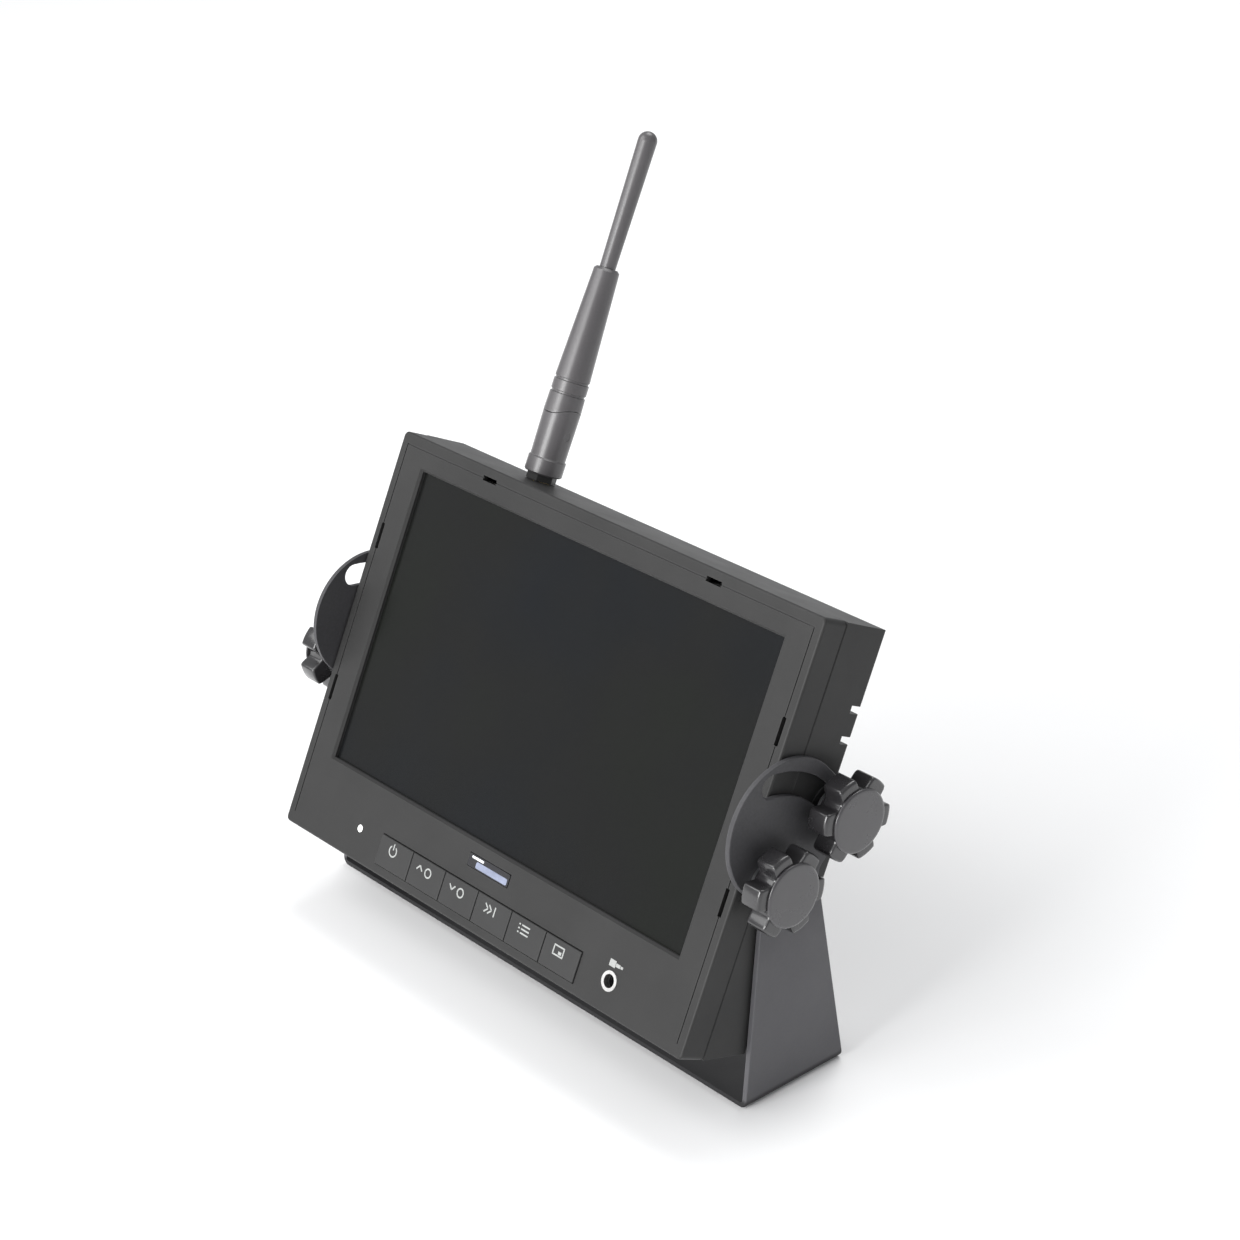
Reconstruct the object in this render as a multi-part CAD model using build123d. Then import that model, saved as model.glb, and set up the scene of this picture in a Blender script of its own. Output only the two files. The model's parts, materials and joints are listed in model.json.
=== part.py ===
from build123d import *
import math
import os

# Seven-inch wireless reversing monitor on a U-bracket.
# Millimetres, +Z up, the screen faces -Y, origin at the centre of the bracket base's underside.
# Monitor pieces are drawn in the monitor's own frame: x across the screen, y into its depth
# from the front plane, z up the screen, with the origin at the middle of the screen.

os.makedirs("parts", exist_ok=True)

# ---- shared allowances ----
PAST = 1.0
OVERLAP = 0.2
FIT = 0.05
SCREW_FIT = 0.15

# ---- pose of the monitor in its bracket ----
TILT_BACK = 26.6
PIVOT_Y, PIVOT_Z = -8.9, 68.3
PIVOT_DEPTH, PIVOT_UP = 7.7, -17.4
CLAMP_RADIUS = 27.3
CLAMP_ANGLE = 27.5

# ---- U-bracket, folded from sheet steel ----
SHEET = 1.5
BRACKET_HALF_W = 91.85
BASE_HALF_D = 18.45
BEND_R = 2.4
ARM_TAPER = 0.134
NECK_Z = 60.0
HEAD_R = 20.3
HEAD_Y, HEAD_Z = -1.36, 80.75
HEAD_REAR_R = 7.2
NECK_FILLET = 3.0
SHEET_EDGE_R = 0.35
SLOT_HALF_W = 3.4
SLOT_FRONT_ANGLE, SLOT_REAR_ANGLE = 84.0, 26.0
BASE_HOLE_R = 2.4
BASE_HOLE_X, BASE_HOLE_Y = 60.0, 10.0

# ---- monitor case ----
HALF_W = 89.8
TOP, BOTTOM = 54.3, -69.7
SEAM = 8.6
SEAM_CHAMFER = 0.35
REAR_ROUND = 1.2
FRONT_EDGE_R = 0.7
SCREEN_BEVEL_W, SCREEN_BEVEL_DEPTH = 0.8, 0.9
NOTCH_HALF_H, NOTCH_DEPTH = 7.0, 2.4
WALL = 2.2
FRONT_WALL = 1.8
OPEN_HALF_W, OPEN_HALF_H = 77.5, 45.0
REAR = 25.0
REAR_TOP, REAR_BOTTOM = 54.0, -67.0
SEAM_TOP, SEAM_BOTTOM = 54.2, -69.4
HUMP = 33.0
HUMP_TOP, HUMP_BOTTOM = 13.0, -55.0
HUMP_RUN = 4.0
CORNER_R = 1.6
VENT_ROWS = (22.7, 31.3)
VENT_H = 2.2
VENT_WRAP = 4.1
CORNER_VENT_X = 62.0
MIDDLE_VENT_ROW = 39.9
MIDDLE_VENTS_X, MIDDLE_VENT_HALF_W = (-30.0, 0.0, 30.0), 12.0
BLOCK_FRONT, BLOCK_REAR, BLOCK_HALF_H, BLOCK_EXTRA = 5.1, 5.6, 6.8, 0.8

# ---- screws, bosses and inserts ----
CASE_SCREWS = ((-85.3, 46.0), (85.3, 46.0), (-80.0, -61.0), (80.0, -61.0))
LCD_SCREWS = ((-85.3, 36.0), (85.3, 36.0), (-85.3, -40.0), (85.3, -40.0))
BOSS_R = 2.5
POST_R = 2.6
POST_FOOT_R, POST_FOOT = 3.6, 9.6
CASE_HEAD_R = 2.1
CASE_SCREW_R = 1.25
CASE_HEAD_SEAT, CASE_HEAD_T = 20.0, 1.8
SMALL_HEAD_R, LCD_HEAD_T, BOARD_HEAD_T = 2.2, 1.4, 1.5
CROSS_HALF_L, CROSS_HALF_W, CROSS_DEPTH = 1.4, 0.35, 0.8
SCREW_TIP_GAP = 1.4
PILOT_GAP = 0.6
INSERT_R, INSERT_L = 3.5, 6.0
STUD_R = 2.5
PAD_T, PAD_R, PAD_FIT = 0.5, 6.0, 0.3
WASHER_T, WASHER_R = 1.0, 6.0
FACE_GAP = 0.05
HINGE_FIT = 0.08

# ---- star knobs ----
LOBES = 6
KNOB_TIP_R = 12.2
SCALLOP_R, SCALLOP_CIRCLE = 3.1, 11.6
LOBE_CORNER_R = 0.9
KNOB_TURN = 12.6
KNOB_HUB_R, KNOB_FACE_R = 6.6, 9.2
KNOB_HUB_T, KNOB_STAR_T, KNOB_FACE_T = 2.0, 6.9, 0.9
KNOB_EDGE_R, KNOB_FACE_EDGE_R = 0.6, 0.7
STUD_CHAMFER = 0.5
STUD_IN_KNOB = 5.5
STUD_TIP = 84.4

# ---- display stack and boards, depths behind the front plane ----
LCD_HALF_W, LCD_HALF_H = 82.4, 49.9
GLASS_T = 1.1
BACKLIGHT_T = 5.0
TRAY_T = 0.8
BOARD_T = 1.6
STANDOFF_L = 6.0
MAIN_BOARD = (-38.0, 62.0, -44.0, 22.0)
STANDOFFS = ((-34.0, -40.0), (58.0, -40.0), (-34.0, 18.0), (58.0, 18.0))
STANDOFF_R = 2.6
BOARD_CORNER_R = 2.0
BOARD_HOLE_R = 1.3
TRAY_EAR_HALF_H = 3.2
TRAY_CABLE_SLOT = (-60.0, -10.0, 28.0, 42.0)
# chips, headers and coils as (x0, x1, z0, z1, height); cans as (x, z)
CHIPS = ((-6, 10, -8, 8, 1.4), (20, 30, 2, 12, 1.2), (-26, -16, -30, -20, 1.2), (36, 44, -14, -6, 1.0))
HEADERS = ((-20, 0, 12, 17, 4.5), (-30, -24, -12, 6, 4.5), (8, 28, -41, -36, 4.5))
COILS = ((38, 46, 6, 14, 4.0), (-12, -4, -28, -20, 4.0))
CANS, CAN_R, CAN_H = ((50.5, -2.0), (50.5, 8.0), (4.0, -26.0)), 3.15, 6.2
RECEIVER_HALF_W, RECEIVER_T, RECEIVER_Z = 17.0, 1.0, (22.0, 47.5)
SHIELD_HALF_W, SHIELD_H, SHIELD_SKIN, SHIELD_Z = 12.0, 3.0, 0.3, (25.0, 42.0)
RECEIVER_OFFSET = 0.6

# ---- keys and front details ----
KEY_COUNT = 6
KEY_PITCH = 15.1
KEY_WINDOW = (-46.1, 44.5, -67.0, -57.4)
KEY_GAP = 0.25
KEY_PROUD = 0.6
KEY_BACK = 3.0
KEY_LIP, KEY_LIP_CLEAR = 0.5, 0.15
KEY_EDGE_R = 0.35
STEM_DEPTH, WELL_FIT, WELL_DEPTH = 0.4, 0.3, 1.6
STEM_R = 1.2
SWITCH_SIZE, SWITCH_T = 6.0, 3.0
KEY_BOARD_DEPTH, KEY_BOARD_T = 8.6, 1.2
KEY_BOARD = (-60.0, 50.0, -66.6, -56.0)
LED_X, LED_Z, LED_R = -56.7, -60.1, 1.1
LED_SET_BACK, LIGHT_PIPE_END = 0.1, 6.4
LED_HALF_W, LED_HALF_H = 1.6, 0.8
JACK_X, JACK_Z = 56.9, -60.75
JACK_RING_R, JACK_BORE_R, JACK_RING_PROUD = 2.9, 1.8, 0.25
JACK_HALF_W, JACK_HALF_H, JACK_L, JACK_BORE_L = 4.0, 3.5, 13.0, 12.0
BADGE_Z, BADGE_HALF_W, BADGE_HALF_H = -50.9, 9.0, 1.9
BADGE_PROUD, BADGE_DEPTH, BADGE_CORNER_R = 0.15, 0.5, 0.5
HOOK_TOP_X, HOOK_TOP_Z = 48.0, 50.9
HOOK_SIDE_X = 86.8
HOOK_SIDE_Z = (22.0, -26.0)
HOOK_TOP_HALF_W, HOOK_TOP_HALF_H = 3.0, 0.75
HOOK_SIDE_HALF_W, HOOK_SIDE_HALF_H = 0.7, 4.0
GROOVE_W, GROOVE_DEPTH, GROOVE_END_Z = 0.4, 0.3, -66.0

# ---- rear details ----
SPEAKER_X, SPEAKER_Z, SPEAKER_R = 48.0, -22.0, 15.0
GRILLE_HOLE_R = 0.9
GRILLE_RINGS = ((3.6, 6), (7.2, 12), (10.8, 18))
BASKET_T, BASKET_FLOOR, BASKET_WALL = 5.0, 1.2, 1.5
CONE_SMALL_R, CONE_H, CONE_SKIN, CONE_OFFSET = 5.0, 2.6, 0.5, 2.4
MAGNET_R, MAGNET_T = 6.5, 4.0
GROMMET_X, GROMMET_Z, GROMMET_BORE_R = 0.0, -42.0, 2.6
GROMMET_HOLE_R, GROMMET_NECK_R, GROMMET_FLANGE_R = 4.5, 4.4, 6.2
GROMMET_FLANGE_T, GROMMET_NOSE_R, GROMMET_NOSE_END_R, GROMMET_NOSE_L = 1.5, 6.4, 5.0, 3.2

# ---- antenna: heights are measured up from the case top ----
ANT_X, ANT_DEPTH = -45.0, 16.5
ANT_START = 2.2
SOCKET_R = 3.1
SOCKET_TAIL_R, SOCKET_TAIL_L = 0.6, 3.0
LOCK_NUT_R, LOCK_NUT_T, CLAMP_NUT_R = 4.2, 1.5, 4.6
NUT_GAP = 0.1
COLLAR_R, COLLAR_L, COLLAR_ROOF = 5.7, 5.0, 0.4
COLLAR_CHAMFER = 0.4
HINGE_UP = 12.5
EAR_R, ARCH_R, FORK_TOP_R = 7.7, 7.9, 5.5
FORK_REACH = 8.0
FORK_GAP = 0.2
SHOULDER_UP = 5.9
TANG_HALF_W, TANG_R = 2.0, 4.0
PIN_R, PIN_HALF_L = 1.2, 5.2
RING_UP, RING_R, RING_HALF_H = 26.6, 5.3, 1.5
RING_GROOVE_W, RING_GROOVE_DEPTH, RING_STEP = 0.5, 0.35, 0.2
SLEEVE_FOOT_R = 5.5
SLEEVE_END, SLEEVE_TOP_R, SLEEVE_END_ROUND = 62.5, 3.85, 0.7
ROD_END, ROD_R, ROD_TIP_R = 103.4, 2.4, 2.85
ROD_BURIED = 12.0


def box(x0, x1, y0, y1, z0, z1):
    """A box given by its limits."""
    return Pos((x0 + x1) / 2, (y0 + y1) / 2, (z0 + z1) / 2) * Box(x1 - x0, y1 - y0, z1 - z0)


def rod_x(radius, x0, x1, y, z):
    """A cylinder along x."""
    return Pos((x0 + x1) / 2, y, z) * Rot(0, 90, 0) * Cylinder(radius, abs(x1 - x0))


def rod_y(radius, y0, y1, x, z):
    """A cylinder along y."""
    return Pos(x, (y0 + y1) / 2, z) * Rot(90, 0, 0) * Cylinder(radius, y1 - y0)


def rod_z(radius, z0, z1, x=0.0, y=0.0):
    """A cylinder along z."""
    return Pos(x, y, (z0 + z1) / 2) * Cylinder(radius, z1 - z0)


def along_x(points, x0, x1):
    """A prism along x from an outline in the y-z plane."""
    face = make_face(Polyline([(0, y, z) for y, z in points], close=True))
    prism = extrude(face, amount=x1 - x0, dir=(1, 0, 0))
    return Pos(x0, 0, 0) * prism


def tilt_point(depth, up):
    """World Y and Z of a monitor point, relative to the middle of the screen."""
    lean = math.radians(TILT_BACK)
    y = depth * math.cos(lean) + up * math.sin(lean)
    z = up * math.cos(lean) - depth * math.sin(lean)
    return y, z


PIVOT_OFFSET = tilt_point(PIVOT_DEPTH, PIVOT_UP)
SCREEN_Y = PIVOT_Y - PIVOT_OFFSET[0]
SCREEN_Z = PIVOT_Z - PIVOT_OFFSET[1]
IN_MONITOR = Pos(0, SCREEN_Y, SCREEN_Z) * Rot(-TILT_BACK, 0, 0)
CLAMP_LOCAL = math.radians(CLAMP_ANGLE + TILT_BACK)
CLAMP_DEPTH = PIVOT_DEPTH + CLAMP_RADIUS * math.cos(CLAMP_LOCAL)
CLAMP_UP = PIVOT_UP + CLAMP_RADIUS * math.sin(CLAMP_LOCAL)
SCREW_POINTS = {"pivot": (PIVOT_DEPTH, PIVOT_UP), "clamp": (CLAMP_DEPTH, CLAMP_UP)}
SIDES = {"right": 1, "left": -1}
PLATE_IN = BRACKET_HALF_W - SHEET
WASHER_X = BRACKET_HALF_W + FACE_GAP
KNOB_X = WASHER_X + WASHER_T + FACE_GAP
LCD_BACK = FRONT_WALL + GLASS_T + BACKLIGHT_T
TRAY_BACK = LCD_BACK + TRAY_T
BOARD_DEPTH = TRAY_BACK + STANDOFF_L
HUMP_WALL = HUMP - WALL
ANT_BASE = SEAM_TOP + ANT_START


def save(name, shape, place=None):
    """Write one sub-part, placed in the row frame."""
    export_step(place * shape if place else shape, "parts/" + name + ".step")


def group(solids):
    """Several separate solids kept together in one sub-part."""
    return Compound(children=list(solids))


# ---------------------------------------------------------------- bracket

def arc_point(angle, radius=CLAMP_RADIUS):
    """A point on a circle about the pivot, in world Y and Z."""
    turn = math.radians(angle)
    return PIVOT_Y + radius * math.cos(turn), PIVOT_Z + radius * math.sin(turn)


def arm_outline():
    """Side view of a bracket arm: a tapered leg under a round head."""
    neck = BASE_HALF_D - ARM_TAPER * NECK_Z
    leg = Polygon((-BASE_HALF_D, 0), (BASE_HALF_D, 0), (neck, NECK_Z), (neck, HEAD_Z),
                  (-neck, HEAD_Z), (-neck, NECK_Z), align=None)
    head = Pos(HEAD_Y, HEAD_Z) * Circle(HEAD_R)
    rear_y, rear_z = arc_point(SLOT_REAR_ANGLE)
    rear = Pos(rear_y, rear_z) * Circle(HEAD_REAR_R)
    head = make_hull(head.edges() + rear.edges())
    outline = leg + head
    grown = offset(outline, NECK_FILLET, kind=Kind.ARC)
    return offset(grown, -NECK_FILLET, kind=Kind.ARC)


def arm_slot():
    """The arc slot that the clamp stud runs along, cut through both arms."""
    width = 2 * (BRACKET_HALF_W + PAST)
    swept = rod_x(CLAMP_RADIUS + SLOT_HALF_W, -width / 2, width / 2, PIVOT_Y, PIVOT_Z)
    swept -= rod_x(CLAMP_RADIUS - SLOT_HALF_W, -width / 2, width / 2, PIVOT_Y, PIVOT_Z)
    reach = 2 * CLAMP_RADIUS
    wedge = [(PIVOT_Y, PIVOT_Z), arc_point(SLOT_REAR_ANGLE, reach),
             arc_point(SLOT_FRONT_ANGLE, reach)]
    swept &= along_x(wedge, -width / 2, width / 2)
    for angle in (SLOT_REAR_ANGLE, SLOT_FRONT_ANGLE):
        y, z = arc_point(angle)
        swept += rod_x(SLOT_HALF_W, -width / 2, width / 2, y, z)
    return swept


def outer_face_edges(bracket):
    """Edges that lie wholly on the outer face of either arm."""
    def on_face(edge):
        return all(abs(abs(v.X) - BRACKET_HALF_W) < 0.01 for v in edge.vertices())
    return bracket.edges().filter_by(on_face)


def u_bracket():
    """Folded sheet: a flat base and two upright arms with round heads."""
    top = HEAD_Z + HEAD_R + PAST
    half_d = HEAD_R + HEAD_REAR_R
    outer = box(-BRACKET_HALF_W, BRACKET_HALF_W, -half_d, half_d, 0, top)
    outer = fillet(outer.edges().filter_by(Axis.Y).group_by(Axis.Z)[0], BEND_R)
    inner = box(-PLATE_IN, PLATE_IN, -half_d, half_d, SHEET, top)
    inner = fillet(inner.edges().filter_by(Axis.Y).group_by(Axis.Z)[0], BEND_R - SHEET)
    side = Plane.YZ * arm_outline()
    prism = Pos(-BRACKET_HALF_W, 0, 0) * extrude(side, amount=2 * BRACKET_HALF_W)
    bracket = (outer - inner) & prism
    bracket -= arm_slot()
    reach = BRACKET_HALF_W + PAST
    bracket -= rod_x(STUD_R + HINGE_FIT, -reach, reach, PIVOT_Y, PIVOT_Z)
    bracket = fillet(outer_face_edges(bracket), SHEET_EDGE_R)
    for x in (-BASE_HOLE_X, BASE_HOLE_X):
        for y in (-BASE_HOLE_Y, BASE_HOLE_Y):
            bracket -= rod_z(BASE_HOLE_R, -PAST, SHEET + PAST, x, y)
    return bracket


# ---------------------------------------------------------------- case

def screen_opening():
    """Picture window with a bevelled front edge."""
    window = box(-OPEN_HALF_W, OPEN_HALF_W, -PAST, FRONT_WALL, -OPEN_HALF_H, OPEN_HALF_H)
    mouth = Rectangle(2 * (OPEN_HALF_W + SCREEN_BEVEL_W), 2 * (OPEN_HALF_H + SCREEN_BEVEL_W))
    bevel = Pos(0, -FIT, 0) * Rot(90, 0, 0) * mouth
    return [window, extrude(bevel, amount=SCREEN_BEVEL_DEPTH, taper=45, dir=(0, 1, 0))]


def small_openings():
    """Key window, light, jack hole and the seat of the badge."""
    x0, x1, z0, z1 = KEY_WINDOW
    through = FRONT_WALL + PAST
    badge_w, badge_h = BADGE_HALF_W + OVERLAP, BADGE_HALF_H + OVERLAP
    return [box(x0, x1, -PAST, through, z0, z1),
            rod_y(LED_R + FIT, -PAST, through, LED_X, LED_Z),
            rod_y(JACK_RING_R + FIT, -PAST, through, JACK_X, JACK_Z),
            box(-badge_w, badge_w, -PAST, BADGE_DEPTH, BADGE_Z - badge_h, BADGE_Z + badge_h)]


def sunshade_cuts():
    """Hook slots for a clip-on sunshade and the fine groove that runs through them."""
    half = GROOVE_W / 2
    deep = FRONT_WALL + GROOVE_DEPTH
    top = HOOK_TOP_Z + half
    cuts = [box(-HOOK_SIDE_X, HOOK_SIDE_X, -PAST, GROOVE_DEPTH, HOOK_TOP_Z - half, top)]
    for x in (-HOOK_SIDE_X, HOOK_SIDE_X):
        cuts.append(box(x - half, x + half, -PAST, GROOVE_DEPTH, GROOVE_END_Z, top))
        for z in HOOK_SIDE_Z:
            cuts.append(box(x - HOOK_SIDE_HALF_W, x + HOOK_SIDE_HALF_W, -PAST, deep,
                            z - HOOK_SIDE_HALF_H, z + HOOK_SIDE_HALF_H))
    for x in (-HOOK_TOP_X, HOOK_TOP_X):
        cuts.append(box(x - HOOK_TOP_HALF_W, x + HOOK_TOP_HALF_W, -PAST, deep,
                        HOOK_TOP_Z - HOOK_TOP_HALF_H, HOOK_TOP_Z + HOOK_TOP_HALF_H))
    return cuts


def insert_notches():
    """Notches in the side walls that clear the insert blocks of the rear shell."""
    cuts = []
    for side in (-1, 1):
        near, far = sorted((side * (HALF_W - WALL - PAST), side * (HALF_W + PAST)))
        cuts.append(box(near, far, NOTCH_DEPTH, SEAM + PAST,
                        PIVOT_UP - NOTCH_HALF_H, PIVOT_UP + NOTCH_HALF_H))
    return cuts


def front_bezel():
    """Front shell: picture-frame front, key window, hook slots and screw bosses."""
    shell = box(-HALF_W, HALF_W, 0, SEAM, BOTTOM, TOP)
    shell = fillet(shell.edges().filter_by(Axis.Y), CORNER_R)
    shell = fillet(shell.faces().sort_by(Axis.Y)[0].edges(), FRONT_EDGE_R)
    shell = chamfer(shell.faces().sort_by(Axis.Y)[-1].edges(), SEAM_CHAMFER)
    inner_w = HALF_W - WALL
    shell -= box(-inner_w, inner_w, FRONT_WALL, SEAM + PAST, BOTTOM + WALL, TOP - WALL)
    for x, z in CASE_SCREWS:
        shell += rod_y(BOSS_R, FRONT_WALL - OVERLAP, SEAM, x, z)
    for x, z in LCD_SCREWS:
        shell += rod_y(BOSS_R, FRONT_WALL - OVERLAP, LCD_BACK, x, z)
    for cut in screen_opening() + small_openings() + sunshade_cuts() + insert_notches():
        shell -= cut
    for x, z in CASE_SCREWS + LCD_SCREWS:
        shell -= rod_y(CASE_SCREW_R + FIT, FRONT_WALL + PILOT_GAP, SEAM + PAST, x, z)
    return shell


def rear_profile(inset):
    """Side view of the rear shell, drawn in by a wall thickness."""
    run = HUMP_RUN
    return [(SEAM - (1 if inset else 0), SEAM_TOP - inset), (REAR - inset, REAR_TOP - inset),
            (REAR - inset, HUMP_TOP - inset), (HUMP - inset, HUMP_TOP - 0.8 - inset),
            (HUMP - inset, HUMP_BOTTOM + 0.5 * inset), (REAR - inset, HUMP_BOTTOM - run + 0.5 * inset),
            (REAR - inset, REAR_BOTTOM + inset), (SEAM - (1 if inset else 0), SEAM_BOTTOM + inset)]


def vent_slots():
    """Horizontal vents, two rows that wrap round each rear corner and a bank in the middle."""
    cuts = []
    half = VENT_H / 2
    for z in VENT_ROWS:
        for side in (-1, 1):
            near, far = sorted((side * CORNER_VENT_X, side * (HALF_W + PAST)))
            cuts.append(box(near, far, REAR - VENT_WRAP, REAR + PAST, z - half, z + half))
    for z in VENT_ROWS + (MIDDLE_VENT_ROW,):
        for x in MIDDLE_VENTS_X:
            x0, x1 = x - MIDDLE_VENT_HALF_W, x + MIDDLE_VENT_HALF_W
            cuts.append(box(x0, x1, REAR - WALL - PAST, REAR + PAST, z - half, z + half))
    return cuts


def grille_holes():
    """Round speaker holes on rings in the back of the hump."""
    cuts = [rod_y(GRILLE_HOLE_R, HUMP_WALL - PAST, HUMP + PAST, SPEAKER_X, SPEAKER_Z)]
    for ring, count in GRILLE_RINGS:
        for i in range(count):
            turn = 2 * math.pi * i / count
            x = SPEAKER_X + ring * math.cos(turn)
            z = SPEAKER_Z + ring * math.sin(turn)
            cuts.append(rod_y(GRILLE_HOLE_R, HUMP_WALL - PAST, HUMP + PAST, x, z))
    return cuts


def insert_block(side, depth, up):
    """Solid corner of the rear shell that holds one bracket insert."""
    near, far = sorted((side * (HALF_W - INSERT_L - BLOCK_EXTRA), side * HALF_W))
    return box(near, far, depth - BLOCK_FRONT, depth + BLOCK_REAR,
               up - BLOCK_HALF_H, up + BLOCK_HALF_H)


def case_openings():
    """Holes in the rear shell for its screws, inserts, power lead and antenna."""
    cuts = []
    for x, z in CASE_SCREWS:
        cuts.append(rod_y(CASE_SCREW_R + SCREW_FIT, SEAM - PAST, CASE_HEAD_SEAT, x, z))
        cuts.append(rod_y(CASE_HEAD_R + SCREW_FIT, CASE_HEAD_SEAT, REAR + PAST, x, z))
    for side in (-1, 1):
        near, far = sorted((side * (HALF_W - INSERT_L), side * (HALF_W + PAST)))
        for depth, up in SCREW_POINTS.values():
            cuts.append(rod_x(INSERT_R, near, far, depth, up))
    cuts.append(rod_y(GROMMET_HOLE_R, HUMP_WALL - PAST, HUMP + PAST, GROMMET_X, GROMMET_Z))
    cuts.append(rod_z(SOCKET_R + FIT, REAR_TOP - 2 * WALL, TOP + PAST, ANT_X, ANT_DEPTH))
    return cuts


def rear_case():
    """Rear shell: tub with a deeper lower half, screw posts, insert blocks and vents."""
    case = along_x(rear_profile(0), -HALF_W, HALF_W)
    front = case.faces().sort_by(Axis.Y)[0].edges()
    case = chamfer(front, SEAM_CHAMFER)
    outer = case.edges().filter_by(lambda e: e.center().Y > REAR - PAST)
    case = fillet(outer, REAR_ROUND)
    case -= along_x(rear_profile(WALL), -HALF_W + WALL, HALF_W - WALL)
    for x, z in CASE_SCREWS:
        case += rod_y(POST_R, SEAM, REAR - PAST, x, z)
        case += rod_y(POST_FOOT_R, POST_FOOT, REAR - PAST, x, z)
    for side in (-1, 1):
        for depth, up in SCREW_POINTS.values():
            case += insert_block(side, depth, up)
    for cut in case_openings() + vent_slots() + grille_holes():
        case -= cut
    return case


def case_screws():
    """Four cross-head screws that pull the two shells together."""
    screws = []
    head_end = CASE_HEAD_SEAT + CASE_HEAD_T
    cross = head_end - CROSS_DEPTH
    for x, z in CASE_SCREWS:
        screw = rod_y(CASE_SCREW_R, FRONT_WALL + SCREW_TIP_GAP, CASE_HEAD_SEAT, x, z)
        screw += rod_y(CASE_HEAD_R, CASE_HEAD_SEAT, head_end, x, z)
        for half_w, half_h in ((CROSS_HALF_L, CROSS_HALF_W), (CROSS_HALF_W, CROSS_HALF_L)):
            screw -= box(x - half_w, x + half_w, cross, head_end + OVERLAP, z - half_h, z + half_h)
        screws.append(screw)
    return group(screws)


def bracket_inserts():
    """Four threaded brass inserts in the sides of the case."""
    inserts = []
    for side in (-1, 1):
        for depth, up in SCREW_POINTS.values():
            near, far = sorted((side * (HALF_W - INSERT_L), side * HALF_W))
            sleeve = rod_x(INSERT_R, near, far, depth, up)
            inserts.append(sleeve - rod_x(STUD_R + FIT, near - PAST, far + PAST, depth, up))
    return group(inserts)


def friction_pads():
    """Four thin rubber discs between the case and the bracket arms."""
    pads = []
    for side in (-1, 1):
        for depth, up in SCREW_POINTS.values():
            near, far = sorted((side * HALF_W, side * (HALF_W + PAD_T)))
            disc = rod_x(PAD_R, near, far, depth, up)
            pads.append(disc - rod_x(STUD_R + PAD_FIT, near - PAST, far + PAST, depth, up))
    return group(pads)


# ---------------------------------------------------------------- display and electronics

def screen_glass():
    """Front glass of the display."""
    return box(-LCD_HALF_W, LCD_HALF_W, FRONT_WALL, FRONT_WALL + GLASS_T, -LCD_HALF_H, LCD_HALF_H)


def backlight():
    """Light box of the display with its moulded frame."""
    return box(-LCD_HALF_W, LCD_HALF_W, FRONT_WALL + GLASS_T, LCD_BACK, -LCD_HALF_H, LCD_HALF_H)


def lcd_tray():
    """Sheet tray behind the display with four ears screwed to the bezel."""
    tray = box(-LCD_HALF_W, LCD_HALF_W, LCD_BACK, TRAY_BACK, -LCD_HALF_H, LCD_HALF_H)
    for x, z in LCD_SCREWS:
        root = math.copysign(LCD_HALF_W - PAST, x)
        tip = math.copysign(HALF_W - WALL - 2 * FIT, x)
        near, far = sorted((root, tip))
        tray += box(near, far, LCD_BACK, TRAY_BACK, z - TRAY_EAR_HALF_H, z + TRAY_EAR_HALF_H)
        tray -= rod_y(CASE_SCREW_R + SCREW_FIT, 0, SEAM + PAST, x, z)
    x0, x1, z0, z1 = TRAY_CABLE_SLOT
    return tray - box(x0, x1, LCD_BACK - PAST, TRAY_BACK + PAST, z0, z1)


def lcd_screws():
    """Four short screws that hold the tray."""
    screws = []
    for x, z in LCD_SCREWS:
        screw = rod_y(CASE_SCREW_R, FRONT_WALL + SCREW_TIP_GAP, TRAY_BACK, x, z)
        screws.append(screw + rod_y(SMALL_HEAD_R, TRAY_BACK, TRAY_BACK + LCD_HEAD_T, x, z))
    return group(screws)


def board_standoffs():
    """Hex spacers between the tray and the main board."""
    spacers = []
    for x, z in STANDOFFS:
        hexagon = extrude(RegularPolygon(STANDOFF_R, 6), amount=STANDOFF_L)
        spacers.append(Pos(x, BOARD_DEPTH, z) * Rot(90, 0, 0) * hexagon)
    return group(spacers)


def main_board():
    """Main circuit board."""
    x0, x1, z0, z1 = MAIN_BOARD
    board = box(x0, x1, BOARD_DEPTH, BOARD_DEPTH + BOARD_T, z0, z1)
    board = fillet(board.edges().filter_by(Axis.Y), BOARD_CORNER_R)
    for x, z in STANDOFFS:
        board -= rod_y(BOARD_HOLE_R, BOARD_DEPTH - PAST, BOARD_DEPTH + BOARD_T + PAST, x, z)
    return board


def board_parts():
    """Chips, capacitors, coils and plug headers on the main board."""
    top = BOARD_DEPTH + BOARD_T
    pieces = []
    for x0, x1, z0, z1, height in CHIPS + HEADERS + COILS:
        pieces.append(box(x0, x1, top, top + height, z0, z1))
    for x, z in CANS:
        pieces.append(rod_y(CAN_R, top, top + CAN_H, x, z))
    return group(pieces)


def board_screws():
    """Four screws that hold the main board on its spacers."""
    top = BOARD_DEPTH + BOARD_T
    screws = []
    for x, z in STANDOFFS:
        shank = rod_y(CASE_SCREW_R, BOARD_DEPTH, top, x, z)
        screws.append(shank + rod_y(SMALL_HEAD_R, top, top + BOARD_HEAD_T, x, z))
    return group(screws)


def receiver_board():
    """Radio receiver board under the antenna socket."""
    depth = ANT_DEPTH + RECEIVER_OFFSET
    return box(ANT_X - RECEIVER_HALF_W, ANT_X + RECEIVER_HALF_W, depth, depth + RECEIVER_T, *RECEIVER_Z)


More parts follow.
